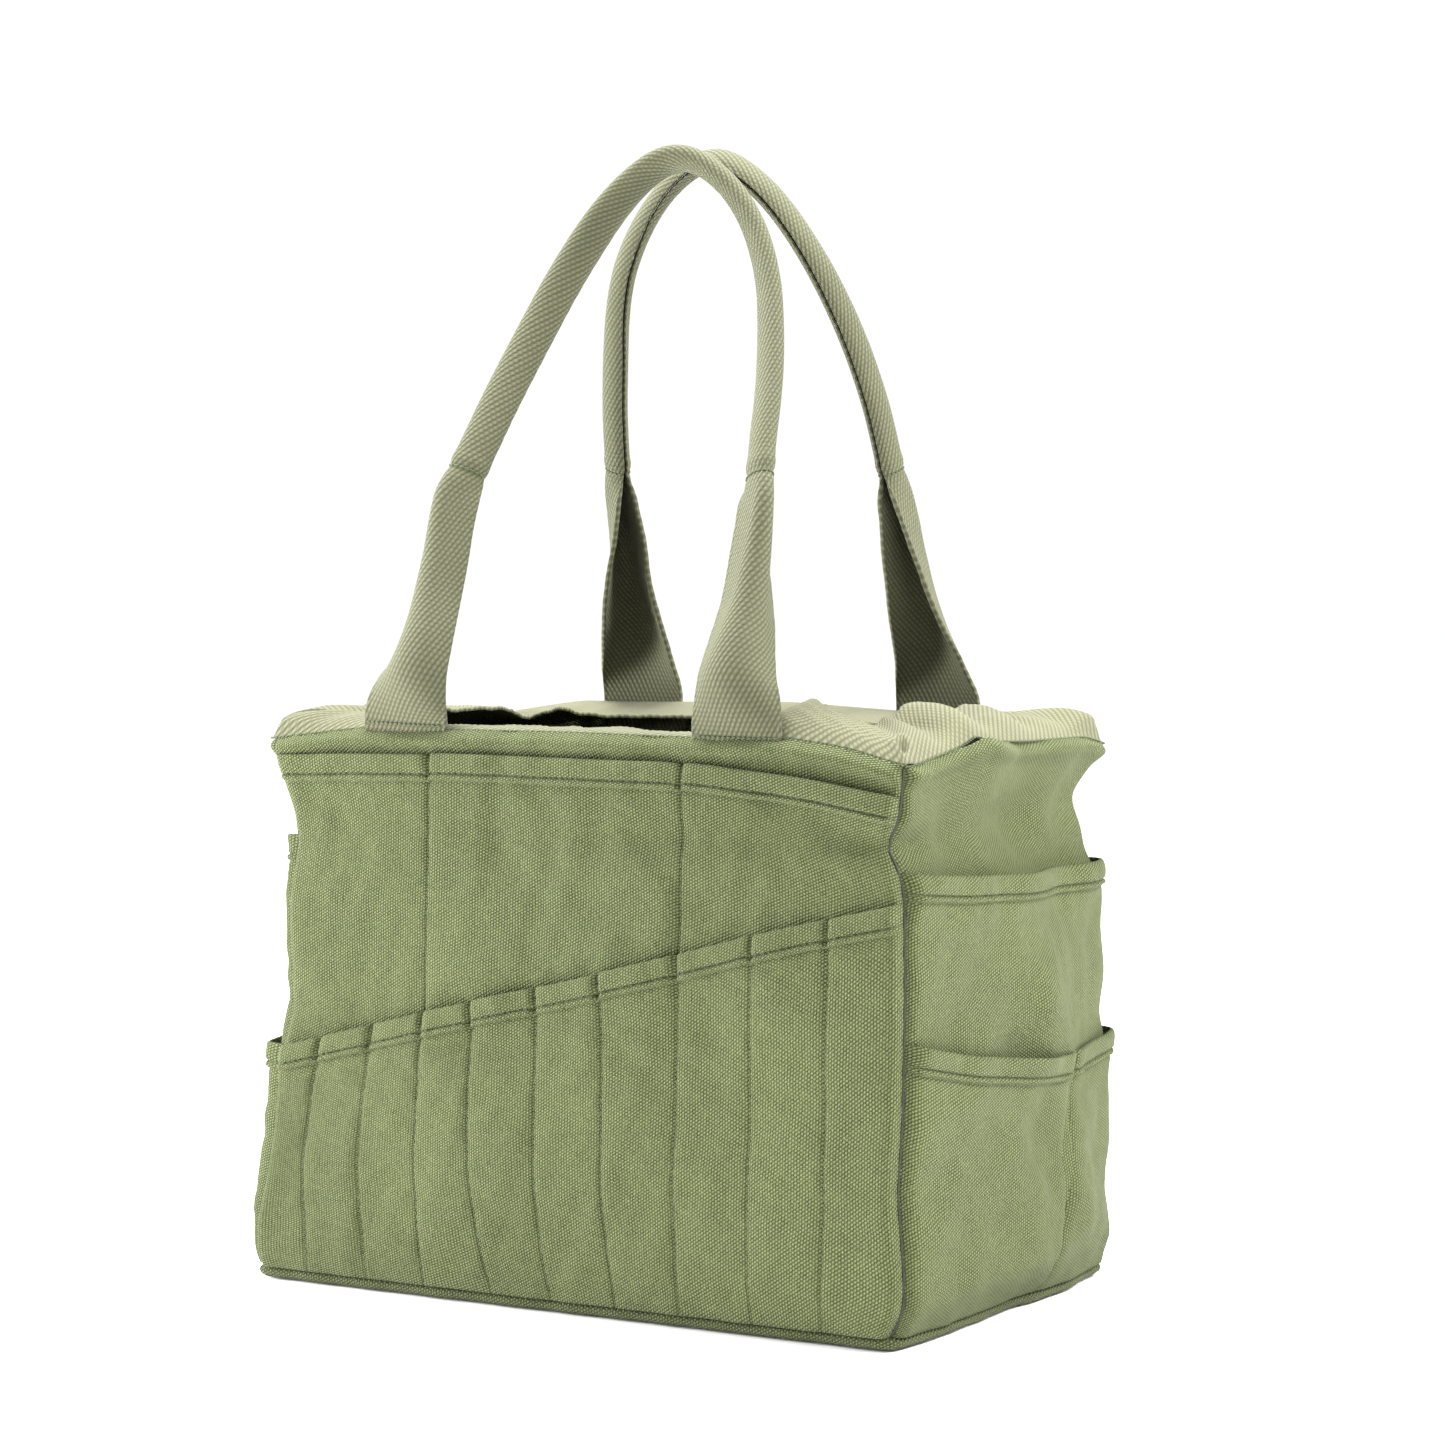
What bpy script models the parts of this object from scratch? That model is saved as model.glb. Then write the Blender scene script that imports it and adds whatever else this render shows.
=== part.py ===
"""Garden tool bag: a canvas tote with pockets on all four walls, a webbing collar and two folded webbing handles.

Metres, +Z up. The origin is the middle of the footprint on the ground. +X is the bag's right, -Y its front.
Wall parts are modelled as the front wall (u along X, "out" measured towards -Y) and turned about Z into place.
"""

import math

import bmesh
import bpy
from mathutils import Vector

MM = 0.001

# Body: outer faces of the four canvas walls, and the seam line where the collar starts.
HALF_WIDTH = 185 * MM
HALF_DEPTH = 115 * MM
RIM_Z = 298 * MM
WALL = 1.5 * MM
GAP = 0.3 * MM

# Base tray, which the walls stand on, and the stiffener that lies in it.
TRAY_EXTRA = 3 * MM
TRAY_HEIGHT = 8 * MM
TRAY_CORNER = 9 * MM
BOARD_THICK = 2.5 * MM
BOARD_MARGIN = 9 * MM
BOARD_CORNER = 6 * MM
BINDING_WIDTH = 10 * MM
BINDING_THICK = 2.5 * MM

# Pockets: one layer of canvas that stands off the wall between its stitch lines, with a folded hem on top.
POCKET_CLOTH = 1.2 * MM
POCKET_GAP = 5.2 * MM
HEM_HEIGHT = 12.5 * MM
HEM_EXTRA = 1.0 * MM
POCKET_FOOT = 14 * MM
FRONT_POCKET_TOP = 287 * MM
TOOL_POCKET_LOW = 125 * MM
TOOL_POCKET_HIGH = 225 * MM
SIDE_UPPER_TOP = 228 * MM
SIDE_LOWER_TOP = 138 * MM
BACK_LOWER_TOP = 170 * MM
TOOL_SEAMS = [-152, -120, -88, -59, -20, 21, 64, 107, 150]
FRONT_SEAMS = [-88, 64]
BACK_SEAMS = [-64, 64]
SIDE_SEAMS = [10]

# Webbing: one width for the handles and the collar.
WEB_WIDTH = 50 * MM
WEB_THICK = 2.0 * MM
STRAP_X = 95 * MM
TAB_TAIL = 26 * MM
HINGE_OUT = HALF_DEPTH + 1.3 * MM
HINGE_Z = RIM_Z + 3.6 * MM
GRIP_START = 128 * MM
GRIP_HALF_WIDE = 10 * MM
GRIP_HALF_THICK = 5 * MM
GRIP_CURL = math.radians(335)
GRIP_TWIST = math.radians(60)
FLAT_CURL = math.radians(2)
CORE_CLEARANCE = 0.7 * MM

# One half of a handle's centreline: distance from the middle, height over the hinge line, and how far it leans
# in over the bag: for the front handle, which is bowed, and for the rear one, which leans less.
HANDLE_PATH = [
    (95, 0, 0, 0), (95, 8, -0.5, 0.8), (94.5, 28, -1.5, 6), (93, 58, 9, 20), (91, 88, 21, 30), (88.5, 118, 33, 39),
    (83.5, 148, 48, 47.5), (77.8, 178, 66, 56.5), (70, 208, 83, 67), (59, 238, 97, 77), (49, 256, 103.5, 81.5),
    (36, 270, 107, 84), (21, 279, 109, 85.5), (8, 282.5, 110, 86), (0, 283, 110, 86),
]

# Collar: its section as (inset, height above the seam), on the long walls and on the short ones, where it puffs up.
COLLAR_LONG = [(0, -10), (0, 1), (0.8, 4.5), (4, 7), (11, 8), (25, 7), (41, 5)]
COLLAR_SHORT = [(0, -10), (0, 4), (0.5, 12), (4, 17), (12, 19), (22, 17), (32, 12)]
COLLAR_CORNER = 5 * MM
COLLAR_PUFF_FROM = 130 * MM

CANVAS = (0.36, 0.43, 0.21)
WEBBING = (0.56, 0.58, 0.40)
COTTON = (0.78, 0.76, 0.68)
BOARD = (0.06, 0.06, 0.06)

WALL_TURN = {"front": 0.0, "right": math.pi / 2, "back": math.pi, "left": -math.pi / 2}


def clear_scene():
    for obj in list(bpy.data.objects):
        bpy.data.objects.remove(obj)


def material(name, colour, roughness):
    made = bpy.data.materials.new(name)
    made.use_nodes = True
    shader = made.node_tree.nodes["Principled BSDF"]
    shader.inputs["Base Color"].default_value = (*colour, 1.0)
    shader.inputs["Roughness"].default_value = roughness
    return made


def add_object(name, points, faces, finish, turn=0.0):
    """A closed solid from points and faces, its normals made to point out."""
    mesh = bpy.data.meshes.new(name)
    mesh.from_pydata([tuple(p) for p in points], [], faces)
    work = bmesh.new()
    work.from_mesh(mesh)
    bmesh.ops.remove_doubles(work, verts=work.verts, dist=0.00001)
    bmesh.ops.recalc_face_normals(work, faces=work.faces)
    work.to_mesh(mesh)
    work.free()
    mesh.materials.append(finish)
    obj = bpy.data.objects.new(name, mesh)
    obj.rotation_euler.z = turn
    bpy.context.scene.collection.objects.link(obj)
    return obj


def smooth(obj, degrees=40):
    obj.data.shade_smooth()
    obj.data.set_sharp_from_angle(angle=math.radians(degrees))
    return obj


def ease(t):
    t = min(1.0, max(0.0, t))
    return t * t * (3 - 2 * t)


def loops_solid(name, loops, finish, turn=0.0, wrap=False):
    """A solid skinned over closed loops of equal length. It is capped at both ends, or wrapped round to a ring."""
    count = len(loops[0])
    points = [p for loop in loops for p in loop]
    faces = []
    for k in range(len(loops) if wrap else len(loops) - 1):
        here, there = k * count, (k + 1) % len(loops) * count
        for i in range(count):
            j = (i + 1) % count
            faces.append((here + i, here + j, there + j, there + i))
    if not wrap:
        faces.append(tuple(reversed(range(count))))
        faces.append(tuple(range((len(loops) - 1) * count, len(loops) * count)))
    return add_object(name, points, faces, finish, turn)


def sheet_solid(name, outer, inner, finish, turn=0.0):
    """A slab of cloth from two grids of points, rows by columns, joined round their edge."""
    rows, columns = len(outer), len(outer[0])
    points = [p for row in outer for p in row] + [p for row in inner for p in row]
    back = rows * columns
    faces = []
    for r in range(rows - 1):
        for c in range(columns - 1):
            a, b = r * columns + c, (r + 1) * columns + c
            faces.append((a, a + 1, b + 1, b))
            faces.append((back + a, back + b, back + b + 1, back + a + 1))
    edge = [c for c in range(columns)]
    edge += [r * columns + columns - 1 for r in range(1, rows)]
    edge += [(rows - 1) * columns + c for c in range(columns - 2, -1, -1)]
    edge += [r * columns for r in range(rows - 2, 0, -1)]
    for a, b in zip(edge, edge[1:] + edge[:1]):
        faces.append((a, b, back + b, back + a))
    return add_object(name, points, faces, finish, turn)


def rounded_rectangle(half_x, half_y, radius, z, arc_steps=3, spans=(1, 1)):
    """A closed loop of points; spans are the straight pieces on the X sides and the Y sides."""
    corners = [(1, -1, -90), (1, 1, 0), (-1, 1, 90), (-1, -1, 180)]
    loop = []
    for index, (sx, sy, start) in enumerate(corners):
        cx, cy = sx * (half_x - radius), sy * (half_y - radius)
        for step in range(arc_steps + 1):
            angle = math.radians(start + 90 * step / arc_steps)
            loop.append(Vector((cx + radius * math.cos(angle), cy + radius * math.sin(angle), z)))
        end = loop[-1]
        tx, ty, after = corners[(index + 1) % 4]
        turn = math.radians(after)
        nx = tx * (half_x - radius) + radius * math.cos(turn)
        ny = ty * (half_y - radius) + radius * math.sin(turn)
        pieces = spans[1] if index % 2 == 0 else spans[0]
        for step in range(1, pieces):
            loop.append(end.lerp(Vector((nx, ny, z)), step / pieces))
    return loop


def wall_slab(name, wall, half_u, out_low, out_high, z_low, z_high, finish, u_middle=0.0):
    """A flat upright slab in a wall's frame."""
    def grid(out):
        return [[(u_middle + s * half_u, -out, z) for s in (-1, 1)] for z in (z_low, z_high)]
    return sheet_solid(name, grid(out_high), grid(out_low), finish, WALL_TURN[wall])


def make_base(canvas, board):
    half_x, half_y = HALF_WIDTH + TRAY_EXTRA, HALF_DEPTH + TRAY_EXTRA
    profile = [(8, 0), (3, 1.2), (0.6, 4), (0, 8), (1.5, 8), (2.2, 4.6), (4.2, 2.6), (8, 1.5)]
    loops = []
    for inset, z in profile:
        d = inset * MM
        loops.append(rounded_rectangle(half_x - d, half_y - d, TRAY_CORNER - d * 0.5, z * MM))
    smooth(loops_solid("base_panel", loops, canvas))
    low = 1.5 * MM + GAP
    board_x, board_y = HALF_WIDTH - BOARD_MARGIN, HALF_DEPTH - BOARD_MARGIN
    slab = [rounded_rectangle(board_x, board_y, BOARD_CORNER, z) for z in (low, low + BOARD_THICK)]
    loops_solid("base_stiffener_board", slab, board)


def make_walls(canvas):
    low = TRAY_HEIGHT + GAP
    for name, wall in (("front_panel", "front"), ("back_panel", "back")):
        wall_slab(name, wall, HALF_WIDTH - GAP, HALF_DEPTH - WALL, HALF_DEPTH, low, RIM_Z, canvas)
    gusset_u = HALF_DEPTH - WALL - GAP
    for name, wall in (("right_gusset", "right"), ("left_gusset", "left")):
        wall_slab(name, wall, gusset_u, HALF_WIDTH - WALL, HALF_WIDTH, low, RIM_Z, canvas)


def make_bindings(canvas):
    """Tape over the seam allowances, one strip down each inside corner, lying on the gussets."""
    high = HALF_WIDTH - WALL - GAP
    middle = HALF_DEPTH - WALL - 2 * GAP - BINDING_WIDTH / 2
    for wall in ("right", "left"):
        for side, sign in (("front", -1), ("back", 1)):
            u = middle * sign * (1 if wall == "right" else -1)
            wall_slab(f"{side}_{wall}_seam_binding", wall, BINDING_WIDTH / 2, high - BINDING_THICK, high,
                      TRAY_HEIGHT + GAP, RIM_Z - 12 * MM, canvas, u)


def channel_columns(seams):
    """(u, stand-off share) across a pocket: none on a stitch line, full over the middle of a channel."""
    columns = []
    for left, right in zip(seams, seams[1:]):
        for t, share in ((0.0, 0.0), (0.06, 0.72), (0.14, 1.0), (0.86, 1.0), (0.94, 0.72)):
            columns.append((left + (right - left) * t, share))
    columns.append((seams[-1], 0.0))
    return columns


def make_pocket(name, wall, half_u, seams_mm, base_out, top_left, top_right, canvas):
    """A pocket layer sewn down at its sides, its foot and its inner stitch lines, and open along its top."""
    seams = [-half_u, *(u * MM for u in seams_mm), half_u]
    columns = channel_columns(seams)
    low = TRAY_HEIGHT + GAP
    outer, inner = [], []
    for row in ("foot", "rise", "full", "hem_under", "hem", "top"):
        outer_row, inner_row = [], []
        for u, share in columns:
            top = top_left + (top_right - top_left) * (u + half_u) / (2 * half_u)
            z, lift, extra = {
                "foot": (low, 0.0, 0.0),
                "rise": (low + POCKET_FOOT * 0.4, 0.7, 0.0),
                "full": (low + POCKET_FOOT, 1.0, 0.0),
                "hem_under": (top - HEM_HEIGHT, 1.0, 0.0),
                "hem": (top - HEM_HEIGHT + GAP, 1.0, HEM_EXTRA),
                "top": (top, 1.0, HEM_EXTRA),
            }[row]
            out = base_out + GAP + POCKET_GAP * share * lift
            inner_row.append((u, -out, z))
            outer_row.append((u, -(out + POCKET_CLOTH + extra), z))
        outer.append(outer_row)
        inner.append(inner_row)
    return sheet_solid(name, outer, inner, canvas, WALL_TURN[wall])


def make_pockets(canvas):
    layer = GAP + POCKET_GAP + POCKET_CLOTH
    wide = HALF_WIDTH - 2 * GAP
    deep = HALF_DEPTH - WALL - GAP
    make_pocket("front_upper_pocket", "front", wide, FRONT_SEAMS, HALF_DEPTH,
                FRONT_POCKET_TOP, FRONT_POCKET_TOP, canvas)
    make_pocket("front_tool_pocket", "front", wide, TOOL_SEAMS, HALF_DEPTH + layer,
                TOOL_POCKET_LOW, TOOL_POCKET_HIGH, canvas)
    make_pocket("back_upper_pocket", "back", wide, BACK_SEAMS, HALF_DEPTH,
                FRONT_POCKET_TOP, FRONT_POCKET_TOP, canvas)
    make_pocket("back_lower_pocket", "back", wide, BACK_SEAMS, HALF_DEPTH + layer,
                BACK_LOWER_TOP, BACK_LOWER_TOP, canvas)
    for wall, sign in (("right", 1), ("left", -1)):
        make_pocket(f"{wall}_upper_pocket", wall, deep, [], HALF_WIDTH,
                    SIDE_UPPER_TOP, SIDE_UPPER_TOP, canvas)
        make_pocket(f"{wall}_lower_pocket", wall, deep, [sign * u for u in SIDE_SEAMS], HALF_WIDTH + layer,
                    SIDE_LOWER_TOP, SIDE_LOWER_TOP, canvas)


def make_collar(webbing):
    """The webbing band sewn inside the rim. It folds over the opening and puffs up on the short walls."""
    face = WALL + GAP + WEB_THICK + 0.8 * MM
    half_x, half_y = HALF_WIDTH - face, HALF_DEPTH - face

    def loop(index, shift):
        made = []
        for side in COLLAR_LONG, COLLAR_SHORT:
            a, b = side[max(0, index - 1)], side[min(len(side) - 1, index + 1)]
            run, rise = b[0] - a[0], b[1] - a[1]
            length = math.hypot(run, rise)
            inset = (side[index][0] * MM + shift * rise / length, side[index][1] * MM - shift * run / length)
            made.append(inset)
        (long_in, long_z), (short_in, short_z) = made
        x, y = half_x - short_in, half_y - long_in
        points = rounded_rectangle(x, y, COLLAR_CORNER, 0, 3, (9, 4))
        for p in points:
            puff = ease((abs(p.x) - COLLAR_PUFF_FROM) / (half_x - 25 * MM - COLLAR_PUFF_FROM))
            p.z = RIM_Z + long_z + (short_z - long_z) * puff
        return points

    order = range(len(COLLAR_LONG))
    loops = [loop(k, 0.0) for k in order] + [loop(k, WEB_THICK) for k in reversed(order)]
    smooth(loops_solid("rim_collar", loops, webbing, wrap=True))


def make_strap_tabs(webbing):
    """The sewn ends of the handles: a tail behind the wall, and a lip over the wall's top edge."""
    back = HALF_DEPTH - WALL - GAP
    low, lip, top = RIM_Z - TAB_TAIL, RIM_Z + GAP, RIM_Z + GAP + WEB_THICK
    outline = [(back - WEB_THICK, low), (back, low), (back, lip), (HALF_DEPTH + GAP, lip),
               (HALF_DEPTH + GAP, top), (back - WEB_THICK, top)]
    for wall, row in (("front", "front"), ("back", "rear")):
        for side, sign in (("left", -1), ("right", 1)):
            middle = sign * STRAP_X * (1 if wall == "front" else -1)
            loops = [[(middle + s * WEB_WIDTH / 2, -out, z) for out, z in outline] for s in (-1, 1)]
            loops_solid(f"{row}_{side}_strap_tab", loops, webbing, WALL_TURN[wall])


def catmull(points, steps):
    """A smooth line through points, with steps pieces between each two."""
    line = []
    for i in range(len(points) - 1):
        p0, p1 = points[max(i - 1, 0)], points[i]
        p2, p3 = points[i + 1], points[min(i + 2, len(points) - 1)]
        for k in range(steps):
            t = k / steps
            line.append(0.5 * (2 * p1 + (p2 - p0) * t + (2 * p0 - 5 * p1 + 4 * p2 - p3) * t ** 2
                               + (3 * p1 - p0 - 3 * p2 + p3) * t ** 3))
    line.append(points[-1])
    return line


def handle_line(row):
    """The whole centreline in the pivot's frame (x, inward, up), from the left hinge over the top to the right."""
    lean = 2 if row == "front" else 3
    half = [Vector((p[0], p[lean], p[1])) * MM for p in HANDLE_PATH]
    whole = [Vector((-p.x, p.y, p.z)) for p in half] + half[-2::-1]
    return catmull(whole, 2)


def strap_section(line, index, nudge=0.0):
    """The middle line of the webbing's section and its normals: flat at the hinge, an oval tube in the grip."""
    here = line[index]
    ahead = line[min(index + 1, len(line) - 1)] - line[max(index - 1, 0)]
    if index in (0, len(line) - 1):
        ahead = Vector((0, 0, 1 if index == 0 else -1))
    ahead.normalize()
    loop_out = ahead.cross(Vector((0, 1, 0))) * -1
    loop_out.normalize()
    bag_out = ahead.cross(loop_out)
    bag_out.normalize()
    share = ease(here.z / GRIP_START)
    twist = GRIP_TWIST * share ** 1.5
    fold = bag_out * math.cos(twist) + loop_out * math.sin(twist)
    cross = ahead.cross(fold)
    curl = FLAT_CURL + (GRIP_CURL - FLAT_CURL) * share ** 0.8
    radius = WEB_WIDTH / curl
    wide = 1 + (GRIP_HALF_WIDE / (WEB_WIDTH / GRIP_CURL) - 1) * share
    thick = 1 + (GRIP_HALF_THICK / (WEB_WIDTH / GRIP_CURL) - 1) * share
    centre = here + fold * (GRIP_HALF_WIDE * share - radius * wide) + Vector((0, 0, nudge))
    return centre, fold, cross, radius * wide, radius * thick, curl


def make_handle(name, core_name, line, pivot, webbing, cotton):
    """One strip of webbing: two flat legs, and between them a grip folded round its filler cord."""
    across = [k / 6 - 1 for k in range(13)]

    def section(index, thickness, nudge=0.0):
        centre, fold, cross, wide, thick, curl = strap_section(line, index, nudge=nudge)
        outer, inner = [], []
        for j in across:
            angle = j * curl / 2
            middle = centre + fold * (wide * math.cos(angle)) + cross * (thick * math.sin(angle))
            normal = fold * (thick * math.cos(angle)) + cross * (wide * math.sin(angle))
            normal.normalize()
            outer.append(middle + normal * (thickness / 2))
            inner.append(middle - normal * (thickness / 2))
        return outer + inner[::-1]

    last = len(line) - 1
    loops = [section(0, WEB_THICK * 0.4, -0.9 * MM), section(0, WEB_THICK * 0.85, -0.5 * MM)]
    loops += [section(index, WEB_THICK) for index in range(len(line))]
    loops += [section(last, WEB_THICK * 0.85, -0.5 * MM), section(last, WEB_THICK * 0.4, -0.9 * MM)]
    strap = smooth(loops_solid(name, loops, webbing), 60)
    strap.parent = pivot

    less = WEB_THICK / 2 + CORE_CLEARANCE
    rings = []
    for index, here in enumerate(line):
        if here.z < GRIP_START + 4 * MM:
            continue
        centre, fold, cross, wide, thick, curl = strap_section(line, index)
        ring = []
        for k in range(10):
            angle = 2 * math.pi * k / 10
            ring.append(centre + fold * ((wide - less) * math.cos(angle)) + cross * ((thick - less) * math.sin(angle)))
        rings.append(ring)
    core = smooth(loops_solid(core_name, rings, cotton), 60)
    core.parent = pivot


def make_handles(webbing, cotton):
    for row, turn in (("front", 0.0), ("rear", math.pi)):
        pivot = bpy.data.objects.new(f"{row}_handle_pivot", None)
        pivot.location = (0, -HINGE_OUT if row == "front" else HINGE_OUT, HINGE_Z)
        pivot.rotation_euler.z = turn
        bpy.context.scene.collection.objects.link(pivot)
        make_handle(f"{row}_handle_strap", f"{row}_handle_core", handle_line(row), pivot, webbing, cotton)


def main():
    clear_scene()
    canvas = material("green_canvas", CANVAS, 0.9)
    webbing = material("sage_webbing", WEBBING, 0.85)
    cotton = material("cotton_filler", COTTON, 0.95)
    board = material("stiffener_board", BOARD, 0.6)
    make_base(canvas, board)
    make_walls(canvas)
    make_bindings(canvas)
    make_pockets(canvas)
    make_collar(webbing)
    make_strap_tabs(webbing)
    make_handles(webbing, cotton)


main()
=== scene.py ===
import math

import bpy
import numpy as np
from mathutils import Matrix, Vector


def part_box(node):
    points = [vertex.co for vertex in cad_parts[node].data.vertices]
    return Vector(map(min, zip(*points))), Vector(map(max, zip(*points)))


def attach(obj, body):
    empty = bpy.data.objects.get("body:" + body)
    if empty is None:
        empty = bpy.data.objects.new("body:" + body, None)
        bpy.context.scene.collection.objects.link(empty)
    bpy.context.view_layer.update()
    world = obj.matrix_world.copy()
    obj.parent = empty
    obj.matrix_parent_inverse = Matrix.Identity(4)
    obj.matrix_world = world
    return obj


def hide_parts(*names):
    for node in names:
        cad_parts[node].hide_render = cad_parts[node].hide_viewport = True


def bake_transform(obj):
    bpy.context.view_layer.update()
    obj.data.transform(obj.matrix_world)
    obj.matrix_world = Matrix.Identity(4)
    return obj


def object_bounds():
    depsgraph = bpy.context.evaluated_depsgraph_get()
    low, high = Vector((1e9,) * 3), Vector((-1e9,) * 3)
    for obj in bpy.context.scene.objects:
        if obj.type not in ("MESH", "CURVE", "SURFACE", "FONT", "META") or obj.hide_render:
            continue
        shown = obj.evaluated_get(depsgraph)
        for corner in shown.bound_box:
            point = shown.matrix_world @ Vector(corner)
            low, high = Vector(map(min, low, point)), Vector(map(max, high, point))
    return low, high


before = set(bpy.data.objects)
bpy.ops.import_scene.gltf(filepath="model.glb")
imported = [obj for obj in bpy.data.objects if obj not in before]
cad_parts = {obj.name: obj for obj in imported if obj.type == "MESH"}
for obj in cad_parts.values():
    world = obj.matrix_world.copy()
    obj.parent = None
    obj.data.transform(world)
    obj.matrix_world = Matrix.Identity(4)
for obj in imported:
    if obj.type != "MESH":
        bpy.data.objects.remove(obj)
cad_low, cad_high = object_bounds()
MM = 0.001

# ------------------------------------------------------------------ camera, lights, floor

camera_data = bpy.data.cameras.new("camera")
camera = bpy.data.objects.new("camera", camera_data)
bpy.context.scene.collection.objects.link(camera)
bpy.context.scene.camera = camera
camera_data.lens = 103.35
camera_data.sensor_width = 36.0
camera_data.clip_start = 0.05
camera_data.clip_end = 30.0
turn, tilt = math.radians(29.1), math.radians(4.08)
looking = Vector((-math.sin(turn) * math.cos(tilt), math.cos(turn) * math.cos(tilt), -math.sin(tilt)))
camera.location = (1.088, -1.914, 0.455)
camera.rotation_mode = "QUATERNION"
camera.rotation_quaternion = looking.to_track_quat("-Z", "Y")


def area_light(name, place, aim, size, watts, colour=(1, 1, 1)):
    data = bpy.data.lights.new(name, "AREA")
    data.shape = "RECTANGLE"
    data.size, data.size_y = size
    data.energy = watts
    data.color = colour
    lamp = bpy.data.objects.new(name, data)
    lamp.location = place
    lamp.rotation_mode = "QUATERNION"
    lamp.rotation_quaternion = (Vector(aim) - Vector(place)).to_track_quat("-Z", "Y")
    bpy.context.scene.collection.objects.link(lamp)


area_light("key_right", (1.5, 0.25, 1.3), (0.15, 0, 0.25), (0.8, 0.8), 84, (1.0, 0.99, 0.97))
area_light("front_left", (-1.15, -0.68, 0.34), (-0.15, -0.1, 0.12), (0.45, 0.5), 43, (1.0, 1.0, 0.99))
area_light("top", (-0.3, 0.0, 1.9), (0, 0, 0.3), (0.8, 0.8), 112, (1.0, 1.0, 1.0))
area_light("back", (-0.8, 1.9, 1.1), (0, 0, 0.3), (1.4, 1.2), 10, (1.0, 1.0, 1.0))

bpy.context.scene.view_settings.view_transform = "Standard"

world = bpy.data.worlds.new("studio")
bpy.context.scene.world = world
world.use_nodes = True
world.node_tree.nodes["Background"].inputs["Color"].default_value = (1.0, 1.0, 1.0, 1.0)
world.node_tree.nodes["Background"].inputs["Strength"].default_value = 1.04


# ------------------------------------------------------------------ materials

def node(tree, kind, **values):
    made = tree.nodes.new(kind)
    for key, value in values.items():
        if key in made.inputs.keys():
            made.inputs[key].default_value = value
        else:
            setattr(made, key, value)
    return made


def maths(tree, operation, a, b=None, clamp=False):
    made = tree.nodes.new("ShaderNodeMath")
    made.operation = operation
    made.use_clamp = clamp
    for socket, value in zip(made.inputs, (a, b)):
        if value is None:
            continue
        if isinstance(value, (int, float)):
            socket.default_value = value
        else:
            tree.links.new(value, socket)
    return made.outputs[0]


def new_material(name):
    made = bpy.data.materials.new(name)
    made.use_nodes = True
    return made, made.node_tree, made.node_tree.nodes["Principled BSDF"]


def tint(tree, low_colour, high_colour, factor):
    mixed = tree.nodes.new("ShaderNodeMix")
    mixed.data_type = "RGBA"
    mixed.inputs[6].default_value = (*low_colour, 1)
    mixed.inputs[7].default_value = (*high_colour, 1)
    tree.links.new(factor, mixed.inputs[0])
    return mixed.outputs[2]


def uv_parts(tree):
    uv = node(tree, "ShaderNodeUVMap", uv_map="cloth")
    parts = node(tree, "ShaderNodeSeparateXYZ")
    tree.links.new(uv.outputs[0], parts.inputs[0])
    return parts.outputs[0], parts.outputs[1]


def noise_value(tree, scale, detail=2.0, stretch=None):
    where = node(tree, "ShaderNodeTexCoord")
    source = where.outputs["Object"]
    if stretch:
        mapping = node(tree, "ShaderNodeMapping")
        mapping.inputs["Scale"].default_value = stretch
        tree.links.new(source, mapping.inputs[0])
        source = mapping.outputs[0]
    texture = node(tree, "ShaderNodeTexNoise", Scale=scale, Detail=detail)
    tree.links.new(source, texture.inputs["Vector"])
    return texture.outputs[0]


def finish_cloth(tree, shader, height, distance, strength, rough_low, rough_high, rough_by):
    bump = node(tree, "ShaderNodeBump", Strength=strength, Distance=distance)
    tree.links.new(height, bump.inputs["Height"])
    tree.links.new(bump.outputs[0], shader.inputs["Normal"])
    ramp = node(tree, "ShaderNodeMapRange")
    ramp.inputs["To Min"].default_value = rough_low
    ramp.inputs["To Max"].default_value = rough_high
    tree.links.new(rough_by, ramp.inputs["Value"])
    tree.links.new(ramp.outputs[0], shader.inputs["Roughness"])


def wave_of(tree, u, v, across, along):
    """A plane wave in the cloth's own directions, by its periods across and along (0 for none)."""
    total = maths(tree, "MULTIPLY", u, math.tau / across) if across else None
    if along:
        other = maths(tree, "MULTIPLY", v, math.tau / along)
        total = maths(tree, "ADD", total, other) if total is not None else other
    return maths(tree, "COSINE", total)


def weighted(tree, pairs):
    total = maths(tree, "MULTIPLY", pairs[0][0], pairs[0][1])
    for value, weight in pairs[1:]:
        total = maths(tree, "ADD", total, maths(tree, "MULTIPLY", value, weight))
    return total


def canvas_material(name, dark, light, across=3.23 * MM, along=1.63 * MM):
    """Sturdy cotton: floats in a six-sided lattice with one diagonal stronger, slubs, and soft fading."""
    made, tree, shader = new_material(name)
    u, v = uv_parts(tree)
    cloth = weighted(tree, [(wave_of(tree, u, v, across, -along), 0.62),
                            (wave_of(tree, u, v, across / 2, 0), 0.48),
                            (wave_of(tree, u, v, across, along), 0.36)])
    slub = noise_value(tree, 800, 3.0, (1, 1, 0.4))
    fuzz = noise_value(tree, 2400, 2.0)
    height = weighted(tree, [(cloth, 1.0), (slub, 1.8), (fuzz, 0.8)])
    patch = noise_value(tree, 14, 3.0)
    shade = weighted(tree, [(cloth, 0.58), (patch, 0.26), (slub, 0.62)])
    shade = maths(tree, "ADD", shade, 0.06, clamp=True)
    tree.links.new(tint(tree, dark, light, shade), shader.inputs["Base Color"])
    finish_cloth(tree, shader, height, 0.38 * MM, 0.9, 0.86, 0.99, slub)
    shader.inputs["Sheen Weight"].default_value = 0.04
    shader.inputs["Sheen Roughness"].default_value = 0.5
    shader.inputs["Specular IOR Level"].default_value = 0.2
    return made


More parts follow.
